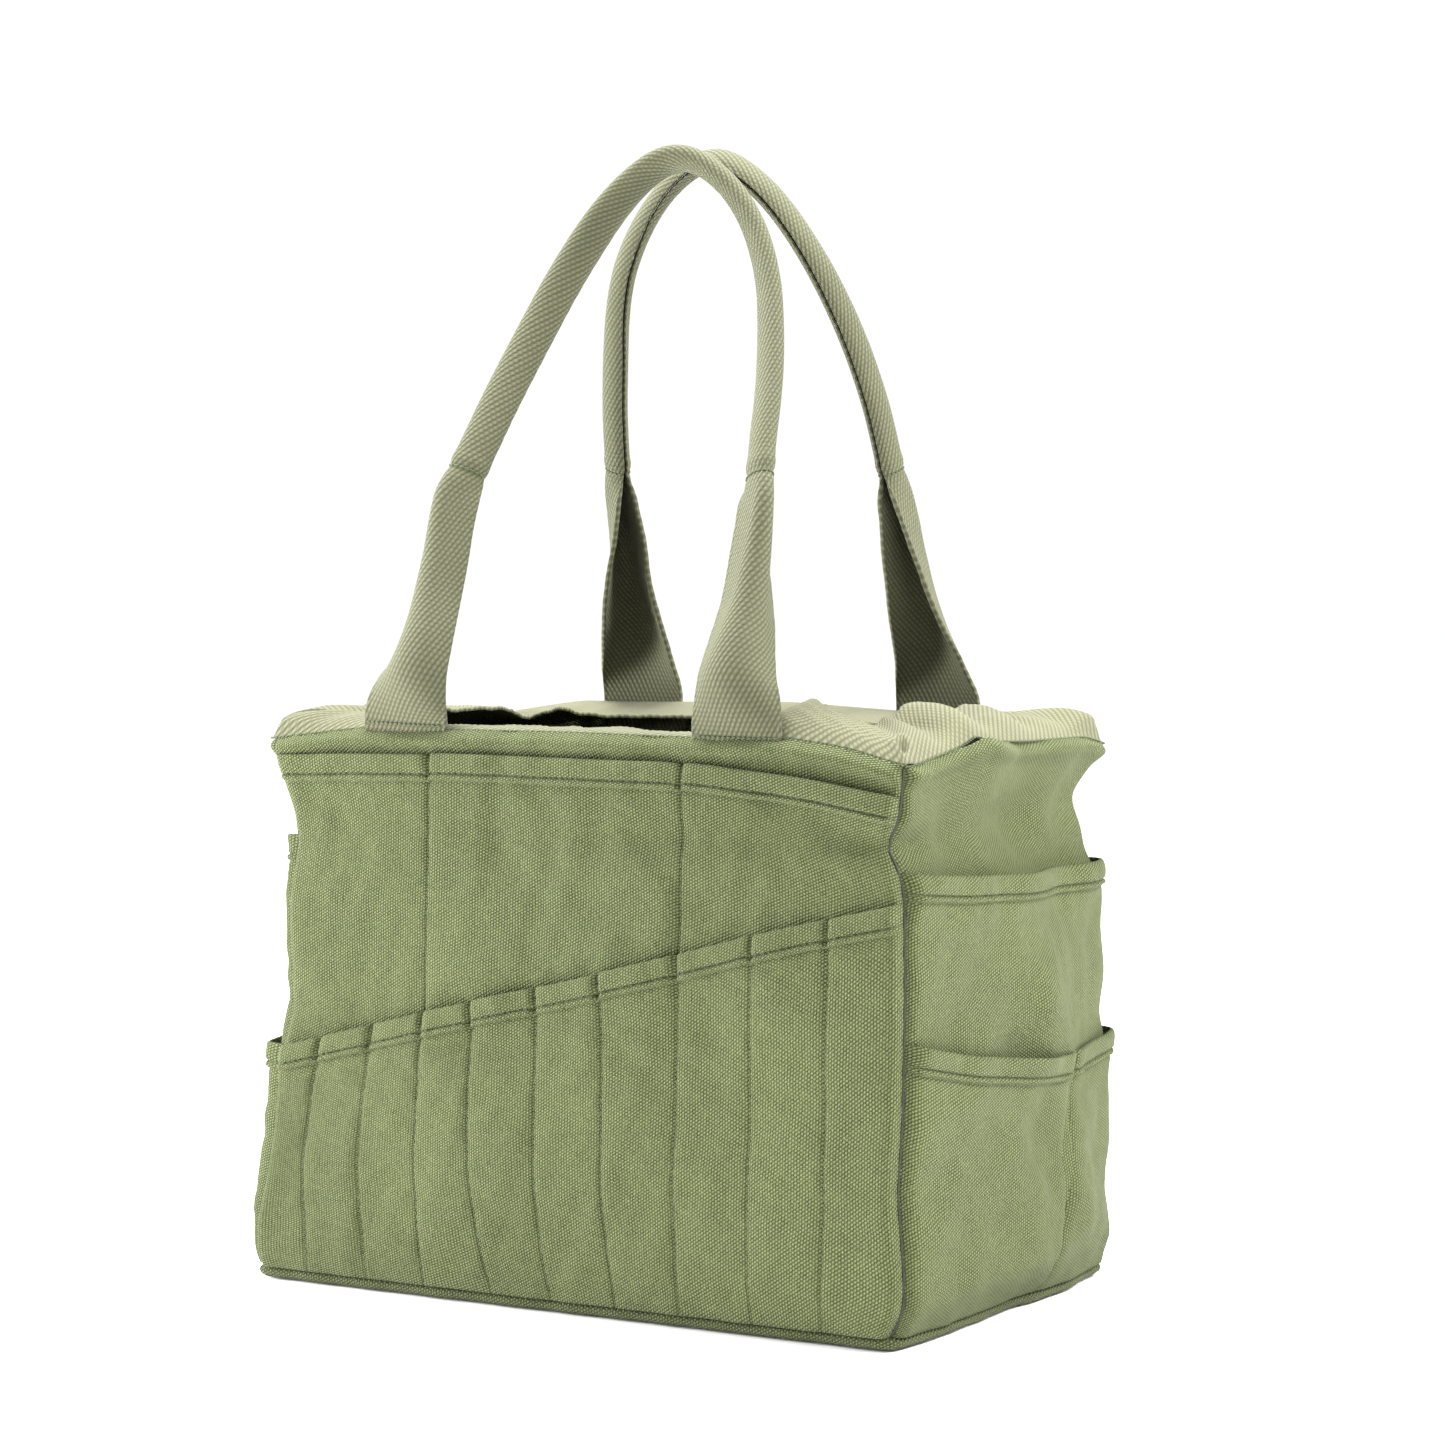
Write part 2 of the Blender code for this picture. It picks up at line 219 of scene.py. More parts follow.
def webbing_material(name, dark, light, across=2.77 * MM, along=4.87 * MM):
    """Heavy cotton webbing: rows of plump slanted yarns with dark slits between them."""
    made, tree, shader = new_material(name)
    u, v = uv_parts(tree)
    yarn = weighted(tree, [(wave_of(tree, u, v, across, -along), 0.78),
                           (wave_of(tree, u, v, across, along), 0.26),
                           (wave_of(tree, u, v, 0, along / 2), 0.30),
                           (wave_of(tree, u, v, across / 2, 0), 0.10)])
    bead = maths(tree, "ADD", maths(tree, "MULTIPLY", yarn, 0.42), 0.58, clamp=True)
    bead = maths(tree, "POWER", bead, 0.7)
    fuzz = noise_value(tree, 1700, 3.0)
    height = weighted(tree, [(bead, 1.0), (fuzz, 0.25)])
    patch = noise_value(tree, 18, 3.0)
    shade = weighted(tree, [(bead, 0.80), (patch, 0.20), (fuzz, 0.30)])
    shade = maths(tree, "SUBTRACT", shade, 0.16, clamp=True)
    tree.links.new(tint(tree, dark, light, shade), shader.inputs["Base Color"])
    finish_cloth(tree, shader, height, 0.6 * MM, 0.9, 0.8, 0.96, fuzz)
    shader.inputs["Sheen Weight"].default_value = 0.05
    shader.inputs["Sheen Roughness"].default_value = 0.5
    shader.inputs["Specular IOR Level"].default_value = 0.2
    return made


def thread_and_shadow_cord_material(name, dark, light):
    """Sewing thread, and the near-black cord of painted shadow in the corner grooves: a fine uneven tint and
    bump.
    """
    made, tree, shader = new_material(name)
    twist = noise_value(tree, 3500, 1.0)
    tree.links.new(tint(tree, dark, light, twist), shader.inputs["Base Color"])
    finish_cloth(tree, shader, twist, 0.1 * MM, 0.5, 0.6, 0.8, twist)
    return made


def board_material(name):
    made, tree, shader = new_material(name)
    grain = noise_value(tree, 700, 4.0)
    tree.links.new(tint(tree, (0.03, 0.03, 0.03), (0.07, 0.07, 0.065), grain), shader.inputs["Base Color"])
    finish_cloth(tree, shader, grain, 0.15 * MM, 0.4, 0.5, 0.72, grain)
    return made


def floor_material(name):
    made, tree, shader = new_material(name)
    grain = noise_value(tree, 3, 2.0)
    tree.links.new(tint(tree, (0.965, 0.965, 0.96), (0.975, 0.975, 0.97), grain), shader.inputs["Base Color"])
    finish_cloth(tree, shader, grain, 0.1 * MM, 0.05, 0.75, 0.85, grain)
    return made


CANVAS = canvas_material("green_canvas_cloth", (0.015, 0.023, 0.004), (0.131, 0.150, 0.063))
CANVAS_UNDER = canvas_material("green_canvas_base_cloth", (0.015, 0.021, 0.005), (0.108, 0.122, 0.053))
WEBBING = webbing_material("sage_webbing_cloth", (0.016, 0.017, 0.007), (0.148, 0.149, 0.088))
# Painted shade: the handles get a darker copy of the same sage webbing, so they stay darker than the collar
# under the top lamp.
SHADED_HANDLE_WEBBING = webbing_material("sage_handle_webbing_painted_shade", (0.007, 0.008, 0.003), (0.116, 0.118, 0.069))
# Painted shadow: a near-black cord colour laid in the corner grooves to stand in for their shade.
SHADOW_CORD_FINISH = thread_and_shadow_cord_material("olive_painted_corner_shadow", (0.006, 0.008, 0.002), (0.014, 0.019, 0.006))
THREAD = thread_and_shadow_cord_material("olive_thread", (0.020, 0.032, 0.008), (0.060, 0.085, 0.026))
COTTON = canvas_material("cotton_filler_cloth", (0.45, 0.43, 0.36), (0.80, 0.78, 0.70), 1.6 * MM, 0.9 * MM)
BOARD = board_material("stiffener_board_grain")

bpy.ops.mesh.primitive_grid_add(x_subdivisions=8, y_subdivisions=8, size=14)
floor = bpy.context.object
floor.name = "studio_floor"
floor.location.z = cad_low.z - 0.2 * MM
floor.data.materials.append(floor_material("pale_floor"))


# ------------------------------------------------------------------ cloth helpers (millimetres)

def bell(x, width):
    return np.exp(-(x / width) ** 2)


def step_up(x):
    t = np.clip(x, 0, 1)
    return t * t * (3 - 2 * t)


def gauss_kernel(spread, reach):
    kernel = np.exp(-(np.arange(-reach, reach + 1) / spread) ** 2 / 2)
    return kernel / kernel.sum()


def distances(points):
    """The distance along a line of points, from its start to each point."""
    return np.concatenate([[0], np.cumsum(np.linalg.norm(np.diff(points, axis=0), axis=1))])


def smooth_table(pairs, sigma, samples=900):
    """A smooth curve through (position, value) pairs."""
    xs, ys = [p[0] for p in pairs], [p[1] for p in pairs]
    fine = np.linspace(xs[0], xs[-1], samples)
    values = np.interp(fine, xs, ys)
    spread = max(1.0, sigma / (fine[1] - fine[0]))
    reach = int(spread * 3)
    padded = np.concatenate([2 * values[0] - values[reach:0:-1], values,
                             2 * values[-1] - values[-2:-reach - 2:-1]])
    values = np.convolve(padded, gauss_kernel(spread, reach), "valid")
    return lambda x: np.interp(x, fine, values)


def waves(seed, length, count=9):
    """Smooth, even-sized random undulation over a plane, in the range of about -1.5 to 1.5."""
    rng = np.random.RandomState(seed)
    angle, phase = rng.uniform(0, math.tau, count), rng.uniform(0, math.tau, count)
    pace = rng.uniform(0.65, 1.45, count) * math.tau / length

    def field(u, v):
        total = 0
        for a, p, k in zip(angle, phase, pace):
            total = total + np.sin(k * (np.cos(a) * u + np.sin(a) * v) + p)
        return total / math.sqrt(count / 2)
    return field


def build(name, points, faces, uv, finish, body):
    """A mesh piece from points in millimetres; uv is one pair for each point, in metres of cloth."""
    mesh = bpy.data.meshes.new(name)
    points = np.asarray(points, float) * MM
    faces = np.asarray(faces, np.int64)
    mesh.vertices.add(len(points))
    mesh.vertices.foreach_set("co", points.astype(np.float32).ravel())
    mesh.loops.add(faces.size)
    mesh.loops.foreach_set("vertex_index", faces.ravel().astype(np.int32))
    mesh.polygons.add(len(faces))
    mesh.polygons.foreach_set("loop_start", np.arange(0, faces.size, faces.shape[1], dtype=np.int32))
    mesh.update(calc_edges=True)
    layer = mesh.uv_layers.new(name="cloth")
    layer.data.foreach_set("uv", np.asarray(uv, np.float32)[faces.ravel()].ravel())
    mesh.validate()
    mesh.shade_smooth()
    mesh.materials.append(finish)
    made = bpy.data.objects.new(name, mesh)
    bpy.context.scene.collection.objects.link(made)
    if body:
        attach(made, body)
    return made


def grid_faces(rows, columns, start=0, flip=False, wrap=False):
    r, c = np.meshgrid(np.arange(rows - 1), np.arange(columns if wrap else columns - 1), indexing="ij")
    a = start + r * columns + c
    b = start + r * columns + (c + 1) % columns
    quads = np.stack([a, b, b + columns, a + columns], -1).reshape(-1, 4)
    return quads[:, ::-1] if flip else quads


def slab(name, outer, inner, finish, body="bag"):
    """A closed sheet of cloth from two grids of points (rows, columns, 3), with the top row first."""
    rows, columns = outer.shape[:2]
    count = rows * columns
    edge = list(range(columns)) + [r * columns + columns - 1 for r in range(1, rows)]
    edge += [(rows - 1) * columns + c for c in range(columns - 2, -1, -1)]
    edge += [r * columns for r in range(rows - 2, 0, -1)]
    a = np.array(edge)
    b = np.roll(a, -1)
    rim = np.stack([b, a, a + count, b + count], -1)
    faces = np.concatenate([grid_faces(rows, columns, flip=True), grid_faces(rows, columns, count),
                            rim[:, ::-1]])
    faces = faces[:, ::-1]
    points = np.concatenate([outer.reshape(-1, 3), inner.reshape(-1, 3)])
    across = np.linalg.norm(np.diff(outer, axis=1), axis=2).mean(0)
    down = np.median(np.linalg.norm(np.diff(outer, axis=0), axis=2), axis=1)
    u = np.concatenate([[0], np.cumsum(across)])[None, :] + np.zeros((rows, 1))
    v = -np.concatenate([[0], np.cumsum(down)])[:, None] + np.zeros((1, columns))
    flat = np.stack([u, v], -1).reshape(-1, 2) * MM
    return build(name, points, faces, np.concatenate([flat, flat]), finish, body)


def ring(name, sections, uv, finish, body, caps=False):
    """A solid skinned over closed sections (count, points, 3); it joins its own start unless it is capped."""
    count, around = sections.shape[:2]
    r, c = np.meshgrid(np.arange(count - 1 if caps else count), np.arange(around), indexing="ij")
    a, b = r * around + c, r * around + (c + 1) % around
    up = ((r + 1) % count) * around
    faces = np.stack([a, b, up + (c + 1) % around, up + c], -1).reshape(-1, 4)
    points, flat = sections.reshape(-1, 3), uv.reshape(-1, 2)
    if caps:
        half = around // 2
        for first, flip in ((0, True), ((count - 1) * around, False)):
            i = np.arange(half - 1)
            cap = np.stack([first + i, first + i + 1, first + around - 2 - i, first + around - 1 - i], -1)
            faces = np.concatenate([faces, cap[:, ::-1] if flip else cap])
    return build(name, points, faces, flat, finish, body)


# ------------------------------------------------------------------ the bag's shape

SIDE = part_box("right_gusset")[1].x / MM
FACE = -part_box("front_panel")[0].y / MM
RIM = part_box("front_panel")[1].z / MM
SEAM_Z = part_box("base_panel")[1].z / MM - 0.6
CLOTH = 1.1
GROOVE = 3.3

# How far each corner seam stands out from its place in the frame: (height, across, to the front or back).
CORNERS = {
    "fl": (-1, -1, [(0, 9, -1), (14, 16, 1), (34, 15, 1), (58, 9, 0), (80, 5, 0), (120, 1, -1),
                    (136, -3, -2), (150, -7, -2), (164, -6, -2), (182, -5, -2), (206, -4, -2),
                    (226, -9, -1), (240, -12, -1), (258, -7, 0), (276, 0, 0), (290, 4, 0), (304, 6, -1)]),
    "fr": (1, -1, [(0, -6, -2), (6, -4, -1), (13, 1, 0), (24, 6, 2), (38, 6, 2), (78, 2, 1), (118, 5, 2),
                   (176, 6, 2), (226, 5, 1), (240, 1, 0), (250, -7, -3), (258, -1, 0), (265, 2, 1),
                   (280, 4, 1), (304, 5, 1)]),
    "br": (1, 1, [(0, 4, -2), (10, 8, 0), (28, 9, 0), (56, 4, -1), (98, 6, -1), (132, 6, -3), (142, 4, -3),
                  (176, 3, -2), (204, 5, -3), (220, 5, -4), (230, 0, -5), (244, -2, -7), (260, -6, -9),
                  (272, 1, -2), (284, 7, 3), (304, 8, 3)]),
    "bl": (-1, 1, [(0, 1, 0), (32, 5, 1), (80, 1, 0), (124, 3, 1), (180, -3, -1), (232, -6, -3),
                   (258, -10, -8), (274, -3, -2), (304, -1, 0)]),
}
RIM_LINE = {
    "front": [(0, -8), (0.08, -4), (0.16, 0), (0.48, 2), (0.68, 2), (0.81, 4), (0.91, 0), (1, -8)],
    "right": [(0, -8), (0.06, -8), (0.13, -5.5), (0.25, -2.5), (0.3, 0), (0.33, 2.8), (0.36, 0),
              (0.44, -2.5), (0.6, -4.5), (0.72, -5.5), (0.88, -6.5), (1, -12)],
    "back": [(0, -13), (0.12, -3), (0.5, 3), (0.85, -1), (1, -10)],
    "left": [(0, -10), (0.15, -6), (0.3, -3), (0.6, -1), (0.85, -4), (1, -8)],
}


def corner_curve(key):
    across, deep, rows = CORNERS[key]
    dx = smooth_table([(z, d) for z, d, _ in rows], 3.5)
    dy = smooth_table([(z, d) for z, _, d in rows], 3.5)
    return lambda z: (across * (SIDE + dx(z)), deep * (FACE + dy(z)))


class Wall:
    """One side of the bag: a point is given by its share of the way along, its height and its stand-off."""

    def __init__(self, name, start, end, normal, width):
        self.name, self.normal, self.width = name, normal, width
        self.start, self.end = corner_curve(start), corner_curve(end)
        self.rim_rise = smooth_table(RIM_LINE[name], 0.014)

    def rim(self, s):
        return RIM + self.rim_rise(s)

    def place(self, s, z, out):
        ax, ay = self.start(z)
        bx, by = self.end(z)
        near = np.minimum(s, 1 - s) * self.width
        tuck = GROOVE * np.clip(1 - near / 8, 0, 1) ** 2
        gather = 1 - 0.72 * np.exp(-near / 2.8)
        stand = out * gather - tuck
        slide = tuck * np.sign(0.5 - s) / self.width
        return np.stack([ax + (bx - ax) * (s + slide) + self.normal[0] * stand,
                         ay + (by - ay) * (s + slide) + self.normal[1] * stand, z + 0 * s], -1)


WALLS = {
    "front": Wall("front", "fl", "fr", (0, -1), 2 * SIDE),
    "right": Wall("right", "fr", "br", (1, 0), 2 * FACE),
    "back": Wall("back", "br", "bl", (0, 1), 2 * SIDE),
    "left": Wall("left", "bl", "fl", (-1, 0), 2 * FACE),
}


def front_folds(s, z):
    x = (s - 0.5) * 2 * SIDE
    full = np.sin(math.pi * np.clip(s, 0, 1)) ** 0.7 * np.sin(math.pi * np.clip(z / 330, 0, 1))
    out = 3.0 * full + 1.9 * waves(11, 150)(x, z) * full + 0.7 * waves(12, 62)(x, z) * full
    out += 0.28 * waves(13, 26)(x, z)
    slant = z - (246 + (187 - x) * 0.36)
    reach = np.exp(-np.clip(187 - x, 0, None) / 65)
    out += (-3.4 * bell(slant, 8) + 2.2 * bell(slant - 15, 10) + 1.8 * bell(slant + 16, 12)) * reach
    return out


def right_folds(s, z):
    y = (s - 0.5) * 2 * FACE
    full = np.sin(math.pi * np.clip(s, 0, 1)) ** (1.05 - 0.5 * s)
    low = step_up(z / 60) * (1 - step_up((z - 150) / 60))
    out = (10 * bell(y - 35, 85) * low + 5 * step_up(z / 80) * (1 - step_up((z - 200) / 90))) * full
    foot = 1 - step_up((z - 20) / 110)
    out += foot * (8.5 * bell(y - 62, 48) + 2.5 * bell(y + 60, 40)) * full
    slope = (y - 25) * 0.86 + (z - 60) * 0.5
    crease = -3.2 * bell(slope, 15) + 2.4 * bell(slope + 30, 18)
    out += (1 - step_up((z - 95) / 50)) * full * crease * step_up(z / 30)
    top = step_up((z - 225) / 30)
    lean = y + (z - 270) * 0.18
    out += top * full * (4.0 * bell(lean + 36, 30) - 2.6 * bell(lean - 14, 24) + 2.6 * bell(lean - 54, 20)
                         - 3.6 * bell(y - 88, 15))
    pinch = np.hypot((y + 112) / 1.5, z - 247)
    ray = 2.4 * bell(z - 247 - (y + 112) * 0.25, 6) * np.exp(-np.clip(y + 112, 0, None) / 28)
    out += 2.2 * bell(pinch - 20, 9) - ray
    out += (1.9 * waves(21, 130)(y, z) + 0.8 * waves(22, 52)(y, z)) * full + 0.22 * waves(23, 24)(y, z)
    return out


def back_folds(s, z):
    x = (s - 0.5) * 2 * SIDE
    full = np.sin(math.pi * np.clip(s, 0, 1)) ** 0.7 * np.sin(math.pi * np.clip(z / 330, 0, 1))
    out = 3.5 * full + 2.0 * waves(31, 140)(x, z) * full + 0.9 * waves(32, 55)(x, z) * full
    return out + 0.3 * waves(33, 24)(x, z)


def left_folds(s, z):
    y = (s - 0.5) * 2 * FACE
    full = np.sin(math.pi * np.clip(s, 0, 1)) ** 0.6
    low = step_up(z / 60) * (1 - step_up((z - 150) / 60))
    out = (2 * bell(y, 80) * low + 4 * step_up(z / 80) * (1 - step_up((z - 200) / 90))) * full
    top = step_up((z - 225) / 30)
    out += top * full * (4 * bell(y + 45, 22) - 3.5 * bell(y - 5, 22) + 3 * bell(y - 55, 22))
    out += (1.7 * waves(41, 110)(y, z) + 0.9 * waves(42, 45)(y, z)) * full + 0.3 * waves(43, 22)(y, z)
    return out


FOLDS = {"front": front_folds, "right": right_folds, "back": back_folds, "left": left_folds}


def fine_shares(width, pitch=2.6):
    """Shares of a width: close together at both ends, where the cloth turns into a stitch line."""
    ends = [0, 0.35, 0.8, 1.4, 2.2, 3.4, 5.0]
    middle = np.linspace(7, width - 7, max(2, int((width - 14) / pitch)))
    return np.concatenate([ends, middle, width - np.array(ends[::-1])]) / width


def panel_out(wall, s, z):
    """The stand-off of the wall's own outer face, with the puffed roll along its top edge."""
    below = wall.rim(s) - z
    roll = 4.6 * bell(below - 5.6, 4.4) - 1.2 * bell(below, 1.8)
    puckers = 0.35 * np.sin(s * wall.width / 4.1 + 1.5 * waves(7, 60)(s * wall.width, z)) * np.exp(-below / 5)
    return FOLDS[wall.name](s, z) + roll + puckers


def make_panel(name, wall, node_name):
    s = fine_shares(wall.width)[None, :]
    heights = np.concatenate([[0, 0.6, 1.4, 2.4, 3.6, 5, 6.5, 8, 9.5, 11, 12.5, 14, 16],
                              np.linspace(19, RIM - SEAM_Z, 100)])[:, None]
    rim = wall.rim(s)
    z = rim - heights * (rim - SEAM_Z) / (RIM - SEAM_Z)
    s, z = s + 0 * z, z + 0 * s
    out = panel_out(wall, s, z)
    made = slab(name, wall.place(s, z, out), wall.place(s, z, out - CLOTH), CANVAS)
    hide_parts(node_name)
    return made


# ------------------------------------------------------------------ pockets

def hem(d):
    """How far a folded hem stands over the cloth below it, by distance down from its top edge."""
    body = 1.5 + 0.45 * np.sin(math.pi * np.clip((d - 0.2) / 9.8, 0, 1)) ** 0.7
    roll = 1.45 + 0.6 * np.sin(math.pi * np.clip((d - 10.7) / 2.9, 0, 1))
    height = np.where(d < 10.4, body, roll) * (1 - step_up((d - 13.3) / 0.7))
    height = height - 1.35 * bell(d - 10.35, 0.5) * (d < 13.2) - 0.45 * bell(d - 14.5, 0.8)
    return height - 1.0 * np.exp(-d / 0.5)


HEM_ROWS = [0, 0.3, 0.7, 1.3, 2.2, 3.6, 5.2, 6.8, 8.4, 9.3, 9.8, 10.1, 10.35, 10.6, 10.9, 11.4, 12.0, 12.6,
            13.2, 13.6, 14.0, 14.5, 15.2, 16.5, 18.5]


# A height halfway up the wall, and how far below a pocket's top edge its plain cloth and its stitches start.
HALF_UP = 150.0
BELOW_HEM = 21
HEM_STITCH = 10.35


class Pocket:
    """A layer sewn to a wall along its sides, its foot and its stitch lines, open along its hemmed top."""

    def __init__(self, wall, seams, top, base, depth, seed, mouth=2.0, ease=4.2, slow=0.0):
        self.wall, self.top, self.base, self.mouth, self.ease, self.slow = wall, top, base, mouth, ease, slow
        self.lines = [lambda z: 0 * z, *seams, lambda z: 0 * z + 1]
        rng = np.random.RandomState(seed)
        self.depths = [depth * k for k in rng.uniform(0.7, 1.3, len(seams) + 1)]
        self.lift = rng.uniform(-0.5, 0.5, len(seams) + 1) * min(len(seams), 1)
        self.slope = rng.uniform(-0.6, 0.6, len(seams) + 1) * min(len(seams), 1)
        self.field, self.small = waves(seed + 500, 70), waves(seed + 600, 22)

    def width_of(self, index):
        """The width of a channel, taken halfway up the wall."""
        middle = np.array([HALF_UP])
        return (self.lines[index + 1](middle) - self.lines[index](middle))[0] * self.wall.width

    def channel(self, index, t, z):
        left, right = self.lines[index](z), self.lines[index + 1](z)
        s = left + (right - left) * t
        width = (right - left) * self.wall.width
        return s, np.minimum(t, 1 - t) * width, width

    def out(self, index, s, near, z, down, hemmed=True):
        edge = 1 - np.exp(-(near / (self.ease + self.slow * step_up(1 - 3 * s))) ** 1.2)
        foot = step_up((z - SEAM_Z) / 26)
        wander = 1 + 0.35 * self.field(s * self.wall.width, z)
        stand = self.depths[index] * edge * foot * wander
        stand = stand + self.mouth * (0.35 + 0.65 * edge) * np.exp(-down / 16) * step_up((near - 0.2) / 3)
        stand = stand + 0.22 * self.small(s * self.wall.width, z) * edge
        pucker = np.sin(z * 1.05 + 2.2 * self.field(z, s * self.wall.width * 0.2) + index)
        stand = stand + 0.30 * pucker * np.exp(-near / 3.2) * (near > 0.1)
        total = self.base + np.maximum(stand, 0) + FOLDS[self.wall.name](s, z)
        press = -0.55 * bell(near, 0.8)
        if hemmed:
            along = np.sin(s * self.wall.width * 1.25 + 3 * self.field(s * self.wall.width, 5))
            total = total + hem(down) * (1 - 0.45 * bell(near, 1.1)) + 0.18 * along * bell(down - 12, 1.6)
            total = total + 0.25 * along * bell(down - 10.3, 3.0)
        return total + press

    def rows(self, index, t, near):
        """Height of the hem's top edge across a channel: notched at the stitch lines."""
        z = self.top(0.5 + 0 * t)
        for _ in range(5):
            s, _, width = self.channel(index, t, z)
            z = self.top(s)
        top = self.top(s) + self.lift[index] * (1 - bell(near, 6)) + self.slope[index] * (t - 0.5)
        return top - 0.9 * bell(near, 1.2)

    def grid(self, index):
        width = self.width_of(index)
        t = fine_shares(width)
        near = np.minimum(t, 1 - t) * width
        top = self.rows(index, t, near)[None, :]
        lower = np.linspace(BELOW_HEM, 1000, 76) / 1000
        fixed = np.array(HEM_ROWS)[:, None] + 0 * top
        rest = BELOW_HEM + (top - SEAM_Z - BELOW_HEM) * ((lower - lower[0]) / (1 - lower[0]))[:, None]
        down = np.concatenate([fixed, rest])
        z = top - down
        s, near, _ = self.channel(index, t[None, :] + 0 * z, z)
        return s, near, z, down

    def make(self, name, finish, node_name, flat_height):
        parts = []
        for index in range(len(self.lines) - 1):
            s, near, z, down = self.grid(index)
            outer = self.out(index, s, near, z, down)
            inner = self.out(index, s, near, z, down, hemmed=False) - CLOTH
            cut = slice(None) if index == 0 else slice(1, None)
            parts.append([a[:, cut] for a in (s, z, outer, inner)])
        s, z, outer, inner = (np.concatenate([p[k] for p in parts], 1) for k in range(4))
        made = slab(name, self.wall.place(s, z, outer), self.wall.place(s, z, inner), finish)
        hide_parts(node_name)
        return made

    def point(self, index, t, z_or_down, by_down):
        """Points and outward directions on the pocket's face, for sewing."""
        t = np.asarray(t, float)
        width = self.width_of(index)
        near = np.minimum(t, 1 - t) * width
        top = self.rows(index, t, near)
        z = top - z_or_down if by_down else z_or_down + 0 * t
        down = top - z
        s, near, _ = self.channel(index, t, z)
        return self.wall.place(s, z, self.out(index, s, near, z, down))


def spot_on(path, far, distance):
    return np.array([np.interp(distance, far, path[:, k]) for k in range(3)])


def stitches(name, paths, finish, body, outward, pitch=3.5, length=2.5, radius=0.36, sink=0.05):
    """Separate stitches along paths; outward holds the direction they stand off in, one for each path."""
    template = []
    for t, r in ((-0.5, 0.25), (-0.36, 0.9), (0, 1.0), (0.36, 0.9), (0.5, 0.25)):
        for k in range(6):
            template.append((t, math.cos(k * math.pi / 3) * r, math.sin(k * math.pi / 3) * r))
    template = np.array(template)
    caps = np.array([[0, 1, 2, 3], [0, 3, 4, 5], [24, 27, 26, 25], [24, 29, 28, 27]])
    body_faces = []
    for level in range(4):
        for k in range(6):
            a, b = level * 6 + k, level * 6 + (k + 1) % 6
            body_faces.append([a, a + 6, b + 6, b])
    local = np.concatenate([np.array(body_faces), caps])
    points, faces = [], []
    for path, normal in zip(paths, outward):
        far = distances(path)
        middles = np.arange(pitch * 0.6, far[-1] - pitch * 0.3, pitch)
        for m in middles:
            here = spot_on(path, far, m)
            ahead = spot_on(path, far, m + length / 2) - spot_on(path, far, m - length / 2)
            ahead /= np.linalg.norm(ahead) + 1e-9
            up = spot_on(normal, far, m) if np.ndim(normal) == 2 else normal
            up = up - ahead * np.dot(up, ahead)
            up /= np.linalg.norm(up) + 1e-9
            side = np.cross(ahead, up)
            base = here + up * (radius * 0.35 - sink)
            around = template[:, 1:2] * side + template[:, 2:3] * up
            made = base + template[:, :1] * ahead * length + radius * around
            faces.append(local + 30 * len(points))
            points.append(made)
    points = np.concatenate(points)
    made = build(name, points, np.concatenate(faces), np.zeros((len(points), 2)), finish, body)
    return made


def pocket_sewing(name, pocket):
    """The dark thread on a pocket: one row under its hem, and one down each inner stitch line."""
    normal = np.array([*pocket.wall.normal, 0.0])
    paths = []
    for index in range(len(pocket.lines) - 1):
        paths.append(pocket.point(index, np.linspace(0.004, 0.996, 160), HEM_STITCH, True))
        if index:
            foot = SEAM_Z + 1.0
            z = np.linspace(pocket.rows(index, np.array([0.0]), np.array([0.0]))[0] - 0.6, foot, 300)
            line = [pocket.point(index, np.zeros(1), np.array([h]), False)[0] for h in z]
            paths.append(np.array(line) + normal * 0.12)
    return stitches(name, paths, THREAD, "bag", [normal] * len(paths))


def seam(points, wall):
    """A stitch line as a share of the wall, from (height, place along X or Y) pairs."""
    curve = smooth_table(points, 6)

    def line(z):
        axis = 0 if wall.normal[0] == 0 else 1
        first, last = wall.start(z)[axis], wall.end(z)[axis]
        return (curve(z) - first) / (last - first)
    return line


def tool_seam(top, middle, foot, top_z, wobble):
    return seam([(0, foot), (12, 0.8 * foot + 0.2 * middle), (30, (middle + foot) / 2 + wobble / 2),
                 (62, middle),
                 (top_z * 0.55 + 28, (top + middle) / 2), (top_z, top), (300, top)], WALLS["front"])


def front_top(s):
    x = (s - 0.5) * 2 * SIDE
    return smooth_table([(-195, -12), (-180, -11.5), (-134, -9), (-81, -7), (-5, -6.5), (67, -6),
                         (133, -11), (195, -20)],
                        8)(x) + RIM - 4.5


def tool_top(s):
    x = (s - 0.5) * 2 * SIDE
    return smooth_table([(-195, 124), (-152, 135), (-88, 154), (-21, 170), (20, 181), (107, 205),
                         (195, 226)], 8)(x)


def side_top(pairs):
    return smooth_table(pairs, 0.03)


def sew_pocket(name, pocket, flat_height):
    """A pocket's cloth and its thread, in place of the frame's node of that name."""
    pocket.make(f"{name}_cloth", CANVAS, name, flat_height)
    pocket_sewing(f"{name}_sewing", pocket)


for wall_name, node_name in (("front", "front_panel"), ("right", "right_gusset"), ("back", "back_panel"),
                             ("left", "left_gusset")):
    make_panel(f"{wall_name}_wall_cloth", WALLS[wall_name], node_name)

UPPER_SEAMS = [seam([(0, -88), (120, -89), (200, -88), (300, -84)], WALLS["front"]),
               seam([(0, 64), (120, 62), (200, 65), (300, 66)], WALLS["front"])]
front_upper = Pocket(WALLS["front"], UPPER_SEAMS, front_top, 1.9, 0.8, 3, mouth=1.0)
sew_pocket("front_upper_pocket", front_upper, 283)

